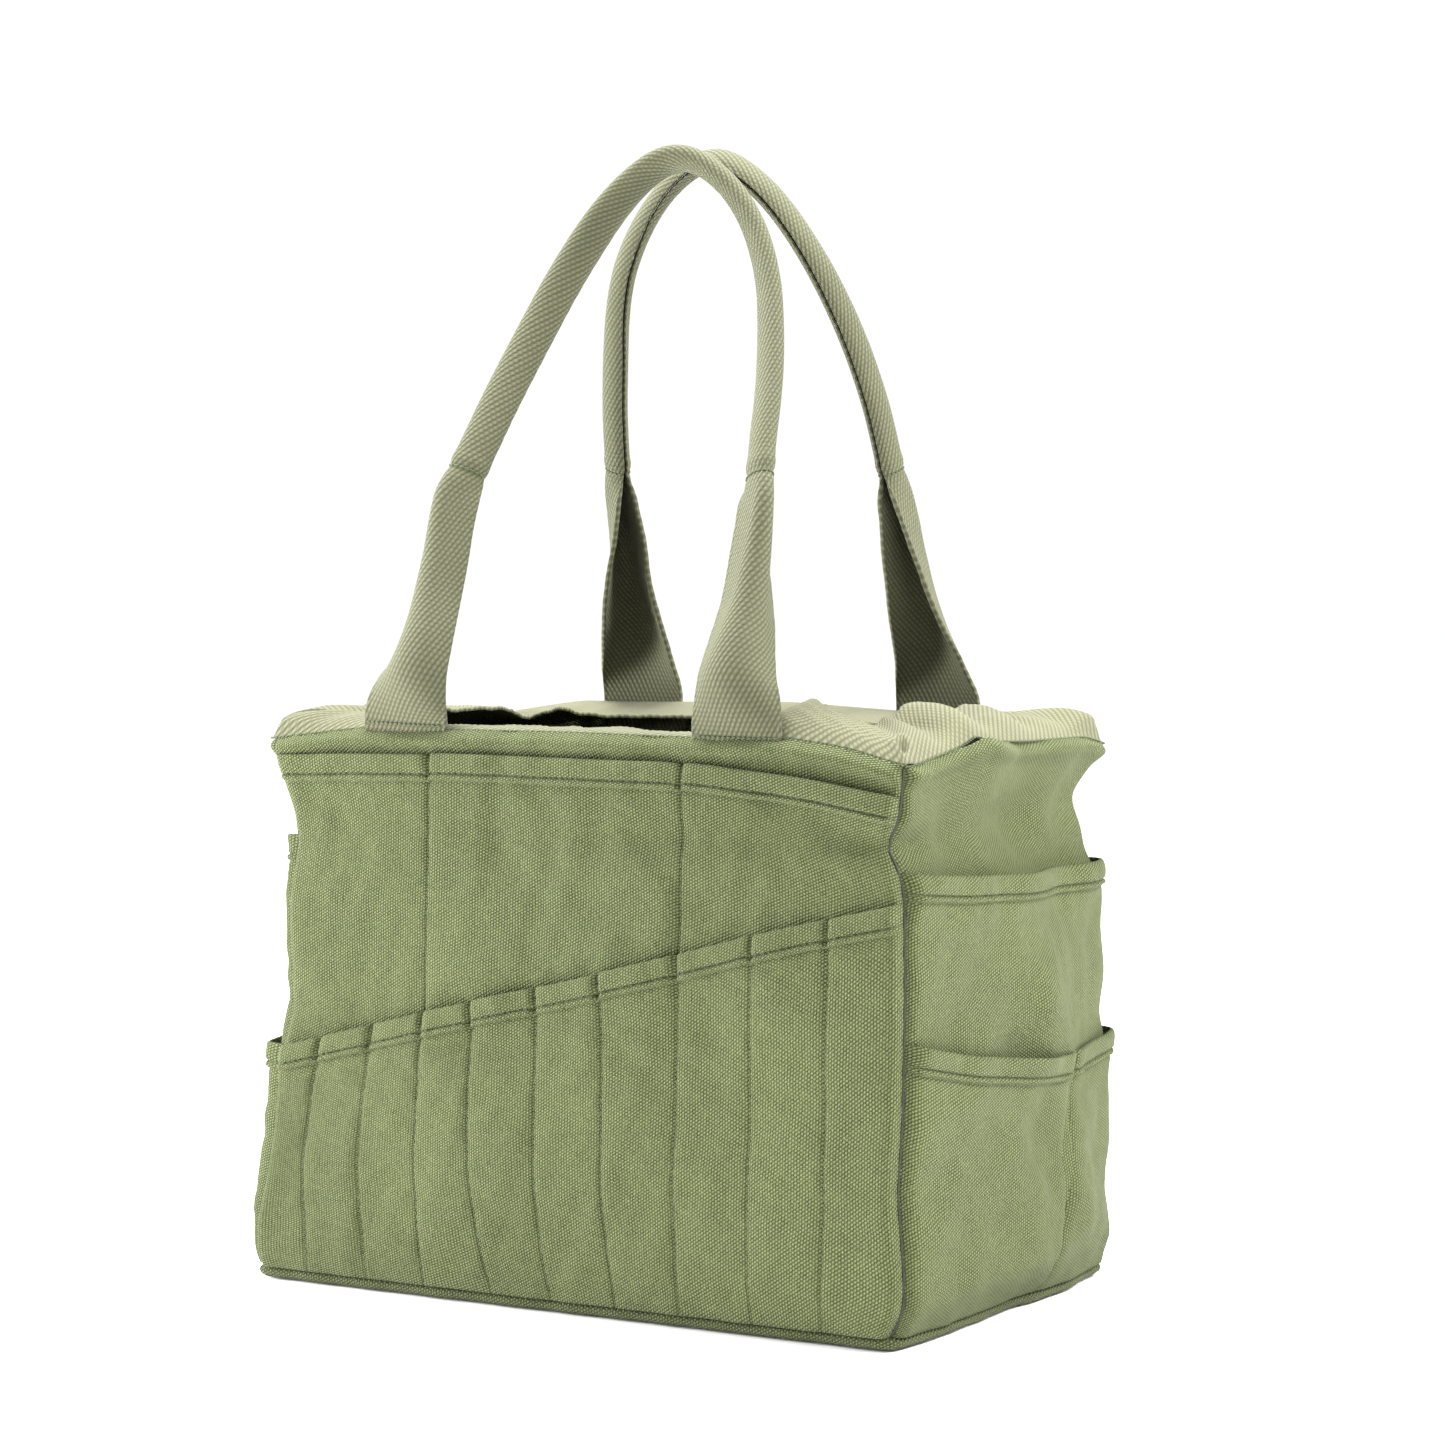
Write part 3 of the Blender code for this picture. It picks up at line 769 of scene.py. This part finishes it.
TOOL_LINES = [(-152, -167, -163, 3), (-120, -131, -125, 2), (-88, -95, -89, 0), (-59, -60, -46, -1),
              (-20, -20, -11, -1), (20, 20, 27, 0), (65, 61, 64, 1), (108, 104, 106, -1),
              (150, 147, 144, 1)]
tool_seams = [tool_seam(top, middle, foot, 140 + (top + 152) * 0.27, wobble)
              for top, middle, foot, wobble in TOOL_LINES]
tool_pocket = Pocket(WALLS["front"], tool_seams, tool_top, 4.0, 0.85, 5, mouth=1.6, ease=2.8)
sew_pocket("front_tool_pocket", tool_pocket, 222)

back_seams = [seam([(0, 64), (300, 65)], WALLS["back"]), seam([(0, -64), (300, -64)], WALLS["back"])]
back_upper = Pocket(WALLS["back"], back_seams, lambda s: RIM - 11.5 - 6 * (2 * s - 1) ** 4, 1.9, 1.8, 7,
                    mouth=1.0)
sew_pocket("back_upper_pocket", back_upper, 282)
back_lower = Pocket(WALLS["back"], back_seams, lambda s: 170 + 0 * s, 4.0, 3.0, 9, mouth=3.0)
sew_pocket("back_lower_pocket", back_lower, 166)

right_upper = Pocket(WALLS["right"], [], side_top([(0, 238), (0.2, 233), (0.5, 228), (0.8, 226), (1, 226)]),
                     1.9, 2.5, 13, mouth=3.5, slow=12)
sew_pocket("right_upper_pocket", right_upper, 234)
right_seam = seam([(0, 22), (30, 24), (70, 30), (135, 38), (300, 40)], WALLS["right"])
right_lower = Pocket(WALLS["right"], [right_seam],
                     side_top([(0, 154), (0.2, 144), (0.42, 137), (0.6, 133), (0.8, 132), (1, 136)]),
                     3.4, 3.5, 15, mouth=3.0, slow=10)
sew_pocket("right_lower_pocket", right_lower, 148)

left_upper = Pocket(WALLS["left"], [], side_top([(0, 228), (0.5, 227), (0.8, 232), (1, 240)]), 1.9, 2.5, 17,
                    mouth=3.5)
sew_pocket("left_upper_pocket", left_upper, 236)
left_seam = seam([(0, 20), (60, 18), (135, 12), (300, 10)], WALLS["left"])
left_lower = Pocket(WALLS["left"], [left_seam], side_top([(0, 136), (0.4, 133), (0.8, 129), (1, 127)]),
                    4.0, 3.5, 19, mouth=3.0)
sew_pocket("left_lower_pocket", left_lower, 146)


# ------------------------------------------------------------------ loops round the bag

def loop_round(z_of, out_of, pitch):
    """Points all the way round the bag, from the front left seam to the right and on, with each point's
    wall number and its share of the way along that wall."""
    points, wall_number, shares = [], [], []
    for number, name in enumerate(("front", "right", "back", "left")):
        wall = WALLS[name]
        count = int(wall.width / pitch)
        s = (np.arange(count) + 0.5) / count
        z = z_of(name, s)
        ax, ay = wall.start(z)
        bx, by = wall.end(z)
        out = out_of(name, s)
        points.append(np.stack([ax + (bx - ax) * s + wall.normal[0] * out,
                                ay + (by - ay) * s + wall.normal[1] * out, z], -1))
        wall_number.append(np.full(count, number))
        shares.append(s)
    points = np.concatenate(points)
    return points, np.concatenate(wall_number), np.concatenate(shares)


def soften(values, spread):
    """Gaussian smoothing round a closed loop."""
    reach = int(spread * 3) + 1
    kernel = gauss_kernel(spread, reach)
    padded = np.concatenate([values[-reach:], values, values[:reach]])
    return np.stack([np.convolve(padded[:, k], kernel, "valid") for k in range(values.shape[1])], -1)


# ------------------------------------------------------------------ base

BASE_THICK = 1.5


def make_base():
    def seam_height(name, s):
        return SEAM_Z + 0 * s

    edge, _, _ = loop_round(seam_height, lambda name, s: 0.4 + FOLDS[name](s, SEAM_Z + 0 * s), 2.4)
    edge = soften(edge, 2.2)
    far = distances(edge[:, :2])
    bumps = 0.35 * np.sin(far / 5.5 + 2 * np.sin(far / 37))
    loops, uvs = [], []
    profile = [(-1.6, 7.6), (-0.2, 6.9), (1.3, 5.8), (1.9, 4.3), (1.2, 2.6), (-0.8, 1.2), (-4, 0.35),
               (-9, 0.0)]
    direction = np.stack([np.roll(edge[:, 1], -1) - np.roll(edge[:, 1], 1),
                          np.roll(edge[:, 0], 1) - np.roll(edge[:, 0], -1)], -1)
    direction /= np.linalg.norm(direction, axis=1)[:, None]
    for out, z in profile:
        spot = edge[:, :2] + direction * (out + bumps[:, None] * (1 if z > 0.5 else 0))
        loops.append(np.concatenate([spot, np.full((len(edge), 1), z)], 1))
        uvs.append(np.stack([far, np.full(len(edge), z)], -1) * MM)
    foot = loops[-1][:, :2]
    for share in (0.8, 0.5, 0.2, 0.02):
        spot = foot * share
        loops.append(np.concatenate([spot, np.zeros((len(edge), 1))], 1))
        uvs.append(spot * MM)
    top = [(-9, BASE_THICK), (-4.4, 1.8), (-2.0, 2.5), (-0.4, 3.6), (0.2, 4.6), (-0.4, 5.6), (-1.8, 6.4),
           (-2.9, 6.8)]
    inner = []
    for share in (0.02, 0.2, 0.5, 0.8):
        spot = foot * share
        inner.append((np.concatenate([spot, np.full((len(edge), 1), BASE_THICK)], 1), spot * MM))
    for out, z in top:
        spot = edge[:, :2] + direction * (out - 0.9 if z > 1.6 else out)
        inner.append((np.concatenate([spot, np.full((len(edge), 1), z)], 1),
                      np.stack([far, np.full(len(edge), z)], -1) * MM))
    sections = np.stack(loops + [p for p, _ in inner], 1)
    uv = np.stack(uvs + [q for _, q in inner], 1)
    made = ring("base_cloth", sections[:, ::-1], uv[:, ::-1], CANVAS_UNDER, "bag")
    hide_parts("base_panel")


make_base()


# ------------------------------------------------------------------ collar

COLLAR_REACH = 44
COLLAR_THICK = 1.9
COLLAR_PITCH = 1.7


def collar_height(number, along, q):
    """How high the collar rides over its seam, by wall, distance along that wall, and inward reach."""
    length = 2 * SIDE if number % 2 == 0 else 2 * FACE
    low = smooth_table([(0, 0), (2.5, 1.6), (8, 1.8), (20, 0.6), (44, -0.8)], 1.2)(q)
    if number == 2:
        low = smooth_table([(0, 0), (2.5, 1.8), (8, 1.8), (20, 0.2), (44, -3.5)], 1.2)(q)
    high = smooth_table([(0, 0), (3, 4.2), (8, 8.5), (16, 12), (28, 14.5), (44, 16)], 1.5)(q)
    left_high = smooth_table([(0, 0), (3, 4.5), (8, 8.5), (16, 10.5), (28, 10), (44, 7)], 1.5)(q)
    if number == 0:
        left, right = 1 - step_up((along - 28) / 58), step_up((along - 262) / 42)
        return low + (left_high - low) * left * 0.95 + (high * 1.05 - low) * right
    if number == 1:
        ease = 1 - 0.32 * step_up((along - 130) / 70) - 0.12 * bell(along - 60, 25)
        return high * ease
    if number == 2:
        right, left = 1 - step_up((along - 8) / 55), step_up((along - length + 90) / 70)
        return low + (high * 0.62 - low) * right + left * (1.5 * step_up(q / 6) + 7 * step_up(q / 44))
    turned = step_up((along - 85) / 90)
    back_like = smooth_table([(0, 0), (2.5, 2.0), (8, 3.6), (20, 4.2), (44, 4)], 1.2)(q)
    return back_like + (left_high - back_like) * turned


def collar_folds(number, along, q):
    """Gathers across the short sides, and the puckers where the band turns the corners."""
    grow = step_up(q / 12) * (1 - 0.25 * step_up((q - 34) / 10))
    total = 0 * along
    if number == 1:
        for middle, lean, size, width in ((20, 0.3, 2.6, 12), (47, 0.5, -3.6, 9), (76, 0.6, 3.6, 13),
                                          (104, 0.75, -3.4, 7), (128, 0.7, 3.0, 12), (153, 0.6, -2.8, 7),
                                          (178, 0.4, 2.4, 11), (203, 0.2, -2.2, 7)):
            total = total + size * bell(along - middle - lean * (q - 10), width)
        total = total + 0.55 * np.sin(along / 2.7 + q / 9) * bell(along - 75, 60)
    if number == 3:
        for middle, lean, size, width in ((25, 0.2, -2, 8), (60, 0.4, 2.4, 12), (95, 0.5, -2.4, 8),
                                          (135, 0.3, 2.2, 12), (170, 0.3, -2.2, 8), (205, 0.2, 2.2, 10)):
            total = total + size * step_up((along - 90) / 60) * bell(along - middle - lean * (q - 10), width)
    if number == 0:
        total = total + 1.5 * np.sin((along + 1.6 * q) / 3.3) * step_up((along - 285) / 30) * 0.5
        total = total + 0.9 * np.sin((along - 0.8 * q) / 5.0) * (1 - step_up((along - 30) / 40))
    return total * grow


def make_collar():
    """A band of webbing along the rim, lying in over the opening.

    Its outer edge runs along the plain rim line. It doesn't follow the folds of the walls, so it stands off
    the short sides by up to 7 mm.
    """
    edge, walls, shares = loop_round(lambda name, s: WALLS[name].rim(s), lambda name, s: -1.2 + 0 * s,
                                     COLLAR_PITCH)
    far = np.arange(len(edge)) * COLLAR_PITCH
    plan = soften(edge, 1.2)
    long_side = (walls % 2 == 0)
    length = np.where(long_side, 2 * SIDE, 2 * FACE)
    along = shares * length
    lumps = 0.5 * waves(61, 46)(far, far * 0) + 0.5 * waves(62, 24)(far, far * 0)
    rows = [0, 0.5, 1.2, 2.2, 3.6, 5, 6.5, 8, 10, 12, 14, 16.5, 19, 21.5, 24, 26.5, 29, 31.5, 34, 36.5, 39,
            41, 42.7, COLLAR_REACH]
    sections, uvs = [], []
    sign = np.sign(plan[:, :2])
    for q in rows:
        inset = q * 0.94
        c_long, c_short = SIDE - np.abs(plan[:, 0]), FACE - np.abs(plan[:, 1])
        slide_long = inset * step_up(1 - c_long / 85)
        slide_short = inset * step_up(1 - c_short / 80)
        x = plan[:, 0] - sign[:, 0] * np.where(long_side, slide_long, inset)
        y = plan[:, 1] - sign[:, 1] * np.where(long_side, inset, slide_short)
        rise = np.zeros(len(far))
        for number in range(4):
            chosen = walls == number
            here = along[chosen]
            rise[chosen] = collar_height(number, here, q) + collar_folds(number, here, q)
        rise = soften(rise[:, None], 2.5)[:, 0]
        rise = rise + 0.6 * lumps * step_up(q / 30)
        back_puff = bell(far - 2 * SIDE - 2 * FACE + 4, 24)
        front_puff = bell(far, 22) + bell(far - far[-1], 22)
        rise = rise + 11.5 * back_puff * step_up(q / 4.5) * (1 - 0.35 * step_up((q - 12) / 30))
        rise = rise + 5.0 * front_puff * step_up(q / 4.5) * (1 - 0.6 * step_up((q - 10) / 30))
        hole = np.hypot(far - 2 * SIDE - 3, (q - 9) * 1.1)
        rise = rise - 5.5 * bell(hole, 3.6) + 2.0 * bell(hole - 7.5, 3.2)
        at_edges = np.exp(-q / 0.9) + np.exp(-(COLLAR_REACH - q) / 0.9)
        beads = 0.45 * np.abs(np.sin(math.pi * far / 3.0)) * at_edges
        z = plan[:, 2] + rise + beads
        sections.append(np.stack([x, y, z], -1))
        uvs.append(np.stack([np.full(len(far), q), far], -1) * MM)
    top = np.stack(sections, 1)
    across = np.gradient(top, axis=1)
    ahead = np.roll(top, -1, 0) - np.roll(top, 1, 0)
    normal = np.cross(ahead, across)
    normal /= np.linalg.norm(normal, axis=2)[:, :, None] + 1e-9
    normal[normal[:, :, 2] < 0] *= -1
    under = top - normal * COLLAR_THICK
    loops = np.concatenate([top, under[:, ::-1]], 1)
    flat = np.stack(uvs, 1)
    uv = np.concatenate([flat, flat[:, ::-1]], 1)
    made = ring("rim_collar_webbing", loops, uv, WEBBING, "bag")
    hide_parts("rim_collar")
    outward = np.stack([np.roll(plan[:, 1], -1) - np.roll(plan[:, 1], 1),
                        np.roll(plan[:, 0], 1) - np.roll(plan[:, 0], -1)], -1)
    outward /= np.linalg.norm(outward, axis=1)[:, None]
    normals = np.concatenate([outward, np.zeros((len(outward), 1))], 1)
    path = plan + normals * 1.0 + np.array([0, 0, 0.1])
    stitches("rim_sewing", [np.concatenate([path, path[:1]])], THREAD, "bag",
             [np.concatenate([normals, normals[:1]])], pitch=2.3, length=1.6, radius=0.42)


make_collar()


# ------------------------------------------------------------------ handles

FEET = {"front": 95.5, "rear": 93}
FRONT_LEFT_SHIFT = 5.5
HINGE = {"front": np.array([0, -116.3, 301.6]), "rear": np.array([0, 116.3, 301.6])}
WEB = 50.0
WEB_THICK = 2.1
# Half a handle: height over the hinge, distance from the middle, lean in over the bag for front and rear.
PATHS = {
    "front": [(-5, 95.5, 0.6), (0, 95.5, 0), (8, 95.5, -1.5), (28, 94.7, -3), (43, 94.2, 4.5),
              (58, 93.9, 13), (73, 93, 19.5), (88, 91.8, 25), (103, 91, 29), (118, 89.4, 33.3),
              (133, 86.8, 40.5), (148, 83.6, 49), (163, 80.9, 58), (178, 77.6, 67), (193, 73.6, 75.5),
              (208, 69.2, 83.5), (223, 64.5, 91), (238, 58.3, 97.5), (253, 50.5, 103), (266, 42, 106.5),
              (278, 31.5, 109), (288, 19, 110), (293.5, 8, 110.3), (294.7, 0, 110.3)],
    "rear": [(-5, 93, 0.6), (0, 93, 0), (8, 93, 0.5), (28, 92.6, 5.3), (43, 91.6, 13), (58, 90.9, 20.5),
             (73, 89.9, 25.5), (88, 88.1, 29.5), (103, 87.6, 34), (118, 86.3, 39.5), (133, 84.5, 43.4),
             (148, 83, 47.7), (163, 81.1, 52), (178, 78.2, 56.6), (193, 74.8, 61.6), (208, 70.8, 67.3),
             (223, 65.8, 73), (238, 59.5, 78), (253, 51, 81.5), (266, 42, 83.5), (278, 31.5, 85),
             (288, 19, 86), (294, 8, 86.2), (295.7, 0, 86.2)],
}
# Below the grip the webbing folds to a V, given by the half angle between its arms and by the length
# of its rounded fold.
ARMS = smooth_table([(-6, 89), (2, 87), (8, 72), (14, 54), (23, 38), (44, 27), (67, 18.5), (88, 11),
                     (112, 3), (128, 0), (330, 0)], 3)
FOLD_LENGTH = smooth_table([(-6, 25), (12, 25), (23, 22), (44, 15), (67, 10), (88, 9), (116, 6.5),
                            (330, 6.5)], 3)
TWIST = smooth_table([(-6, 0), (5, 0), (25, 10), (58, 30), (90, 45), (128, 58), (190, 60), (250, 48),
                      (285, 28), (330, 26)], 5)
GRIP_WIDE, GRIP_THIN = 8.9, 4.9
GRIP_FROM = 129.0
CORE_INSET = 1.9


def resample(points, pitch):
    far = distances(points)
    count = int(far[-1] / pitch) + 1
    target = np.linspace(0, far[-1], count)
    return np.stack([np.interp(target, far, points[:, k]) for k in range(points.shape[1])], -1), target


def handle_line(row):
    table = np.array(PATHS[row], float)
    half = np.stack([-table[:, 1], table[:, 2], table[:, 0]], -1)
    other = half[::-1][1:] * np.array([-1, 1, 1])
    whole = np.concatenate([half, other])
    if row == "front":
        whole[:, 0] -= FRONT_LEFT_SHIFT * bell(whole[:, 2], 26) * (whole[:, 0] < 0)
    knots = distances(whole)
    dense = np.linspace(0, knots[-1], 4000)
    line = np.stack([np.interp(dense, knots, whole[:, k]) for k in range(3)], -1)
    spread = 5.0 / (dense[1] - dense[0])
    reach = int(spread * 3)
    kernel = gauss_kernel(spread, reach)
    padded = np.concatenate([2 * line[0] - line[reach:0:-1], line, 2 * line[-1] - line[-2:-reach - 2:-1]])
    line = np.stack([np.convolve(padded[:, k], kernel, "valid") for k in range(3)], -1)
    return resample(line, 2.4)


def handle_axes(row, line):
    """Along the handle, out from the fold, and across it, at each point of its middle line."""
    ahead = np.gradient(line, axis=0)
    ahead /= np.linalg.norm(ahead, axis=1)[:, None]
    loop_out = np.cross(ahead, np.array([0, 1.0, 0]))
    loop_out /= np.linalg.norm(loop_out, axis=1)[:, None]
    bag_out = np.cross(ahead, loop_out)
    degrees = TWIST(line[:, 2])
    if row == "rear":
        degrees = degrees * (0.08 + 0.92 * step_up((line[:, 0] + 55) / 90))
    twist = np.radians(degrees)[:, None]
    fold = bag_out * np.cos(twist) + loop_out * np.sin(twist)
    return ahead, fold, np.cross(ahead, fold)


def handle_profile(height, steps):
    """The webbing's middle line in section at one height, out from the fold and across, and its normals."""
    fine = np.linspace(0, WEB / 2, 101)
    turn_by = math.pi / 2 - math.radians(float(ARMS(height)))
    angle = turn_by * np.clip(fine / float(FOLD_LENGTH(height)), 0, 1) ** 0.9
    drop = -np.concatenate([[0], np.cumsum(np.sin((angle[1:] + angle[:-1]) / 2) * np.diff(fine))])
    reach = np.concatenate([[0], np.cumsum(np.cos((angle[1:] + angle[:-1]) / 2) * np.diff(fine))])
    drop = drop - drop[-1] / 2
    at = np.abs(steps) * WEB / 2
    side = np.sign(steps)
    bend = np.interp(at, fine, angle)
    vee = np.stack([np.interp(at, fine, drop), side * np.interp(at, fine, reach)], -1)
    vee_out = np.stack([np.cos(bend), side * np.sin(bend)], -1)
    round_angle = steps * math.radians(173)
    oval = np.stack([GRIP_WIDE * np.cos(round_angle), GRIP_THIN * np.sin(round_angle)], -1)
    oval_out = np.stack([GRIP_THIN * np.cos(round_angle), GRIP_WIDE * np.sin(round_angle)], -1)
    oval_out /= np.linalg.norm(oval_out, axis=1)[:, None]
    mix = float(step_up((height - GRIP_FROM + 15) / 18))
    out = vee_out * (1 - mix) + oval_out * mix
    return vee * (1 - mix) + oval * mix, out / np.linalg.norm(out, axis=1)[:, None]


def to_frame(row, points):
    """From the handle's own axes (x, inward, up) to the frame."""
    if row == "front":
        return points + HINGE["front"]
    return points * np.array([-1, -1, 1]) + HINGE["rear"]


def make_handle(row):
    line, far = handle_line(row)
    ahead, fold, cross = handle_axes(row, line)
    steps = np.sin(np.linspace(-1, 1, 43) * math.pi / 2) * 0.35 + np.linspace(-1, 1, 43) * 0.65
    close = np.exp(-(1 - np.abs(steps)) / 0.045)
    outer, inner = [], []
    for k, height in enumerate(line[:, 2]):
        spot, out = handle_profile(min(height, 300), steps)
        middle = line[k] + spot[:, :1] * fold[k] + spot[:, 1:] * cross[k]
        normal = out[:, :1] * fold[k] + out[:, 1:] * cross[k]
        rope = 1 + 0.16 * close - 0.14 * np.exp(-((1 - np.abs(steps) - 0.09) / 0.035) ** 2)
        beads = 0.16 * abs(math.sin(math.pi * far[k] / 3.1)) * close
        half = WEB_THICK / 2 * rope + beads
        press = -0.8 * bell(height - GRIP_FROM, 1.8) + 0.5 * bell(height - GRIP_FROM - 5, 2.8)
        outer.append(middle + normal * (half + press)[:, None])
        inner.append(middle - normal * half[:, None])
    outer, inner = np.stack(outer), np.stack(inner)
    loops = to_frame(row, np.concatenate([outer, inner[:, ::-1]], 1))
    u = (steps * WEB / 2)[None, :] + 0 * far[:, None]
    v = far[:, None] + 0 * u
    flat = np.stack([u, v], -1) * MM
    uv = np.concatenate([flat, flat[:, ::-1]], 1)
    made = ring(f"{row}_handle_webbing", loops, uv, SHADED_HANDLE_WEBBING, None, caps=True)
    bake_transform(made)
    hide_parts(f"{row}_handle_strap")

    grip = line[:, 2] > GRIP_FROM + 3
    rings, core_uv = [], []
    for k in range(12):
        angle = math.tau * k / 12
        rings.append(line[grip] + fold[grip] * (GRIP_WIDE - CORE_INSET) * math.cos(angle)
                     + cross[grip] * (GRIP_THIN - CORE_INSET) * math.sin(angle))
        core_uv.append(np.stack([0 * far[grip] + k * 2.5, far[grip]], -1) * MM)
    core = ring(f"{row}_handle_filler", to_frame(row, np.stack(rings, 1)), np.stack(core_uv, 1), COTTON,
                f"{row}_handle", caps=True)
    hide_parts(f"{row}_handle_core")

    flip = np.array([1, 1, 1]) if row == "front" else np.array([-1, -1, 1])
    for title, height, body in (("grip_end", GRIP_FROM, f"{row}_handle"), ("strap_foot", 0.2, "bag")):
        paths, normals = [], []
        for chosen in (np.arange(len(line)) < len(line) // 2, np.arange(len(line)) >= len(line) // 2):
            index = np.flatnonzero(chosen)[np.argmin(np.abs(line[chosen, 2] - height))]
            out = outer[index] - inner[index]
            out /= np.linalg.norm(out, axis=1)[:, None]
            paths.append(to_frame(row, (outer[index] + out * 0.1)[1:-1]))
            normals.append((out * flip)[1:-1])
        sewing = stitches(f"{row}_{title}_sewing", paths, THREAD, body, normals, pitch=2.9, length=2.6,
                          radius=0.6)


make_handle("front")
make_handle("rear")


# ------------------------------------------------------------------ inside: strap ends, seam tapes, board

def make_strap_end(name, wall_name, middle, node_name):
    wall = WALLS[wall_name]
    u = np.linspace(-24.6, 24.6, 12)[None, :]
    z = np.linspace(RIM - 0.5, RIM - 25, 10)[:, None]
    s = 0.5 + (middle + u) / wall.width + 0 * z
    z = z + 0 * s
    out = panel_out(wall, s, z) - CLOTH - 0.5
    made = slab(name, wall.place(s, z, out), wall.place(s, z, out - 2.0), WEBBING)
    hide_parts(node_name)


for side_name, sign in (("left", -1), ("right", 1)):
    shift = 0 if sign > 0 else FRONT_LEFT_SHIFT
    make_strap_end(f"front_{side_name}_strap_end", "front", sign * (FEET["front"] + shift),
                   f"front_{side_name}_strap_tab")
    make_strap_end(f"rear_{side_name}_strap_end", "back", -sign * FEET["rear"],
                   f"rear_{side_name}_strap_tab")


def make_tape(name, wall_name, at_end, node_name):
    wall = WALLS[wall_name]
    u = np.linspace(2.5, 13, 8)[None, :]
    z = np.linspace(RIM - 14, SEAM_Z + 1, 70)[:, None]
    s = (1 - u / wall.width if at_end else u / wall.width) + 0 * z
    z = z + 0 * s
    out = panel_out(wall, s, z) - CLOTH - 0.4 + 0.2 * np.sin(z / 3.3)
    made = slab(name, wall.place(s, z, out), wall.place(s, z, out - 1.4), CANVAS_UNDER)
    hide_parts(node_name)


for corner_name, wall_name, at_end in (("front_right", "right", False), ("back_right", "right", True),
                                       ("back_left", "left", False), ("front_left", "left", True)):
    make_tape(f"{corner_name}_seam_tape", wall_name, at_end, f"{corner_name}_seam_binding")


def make_corner_shadow_cord(key):
    """A near-black cord down in the groove where two walls meet: painted shadow along the corner seam."""
    across, deep, _ = CORNERS[key]
    z = np.linspace(RIM - (13 if key == "br" else 9), SEAM_Z - 1, 180)
    x, y = corner_curve(key)(z)
    wander = 0.25 * np.sin(z / 2.3)
    centre = np.stack([x - across * (GROOVE - 0.1 + wander), y - deep * (GROOVE - 0.1 + wander), z], -1)
    turn = np.linspace(0, math.tau, 11)[:-1]
    section = np.stack([np.cos(turn), np.sin(turn), 0 * turn], -1) * 0.9
    loops = centre[:, None] + section[None]
    uv = np.stack([0 * z[:, None] + turn[None], z[:, None] + 0 * turn[None]], -1) * MM
    # Painted shadow: this dark cord stands in for the shade in the corner groove.
    made = ring(f"{key}_corner_shadow_cord", loops, uv, SHADOW_CORD_FINISH, "bag", caps=True)


for corner_key in CORNERS:
    make_corner_shadow_cord(corner_key)

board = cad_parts["base_stiffener_board"]
board.data.materials.clear()
board.data.materials.append(BOARD)
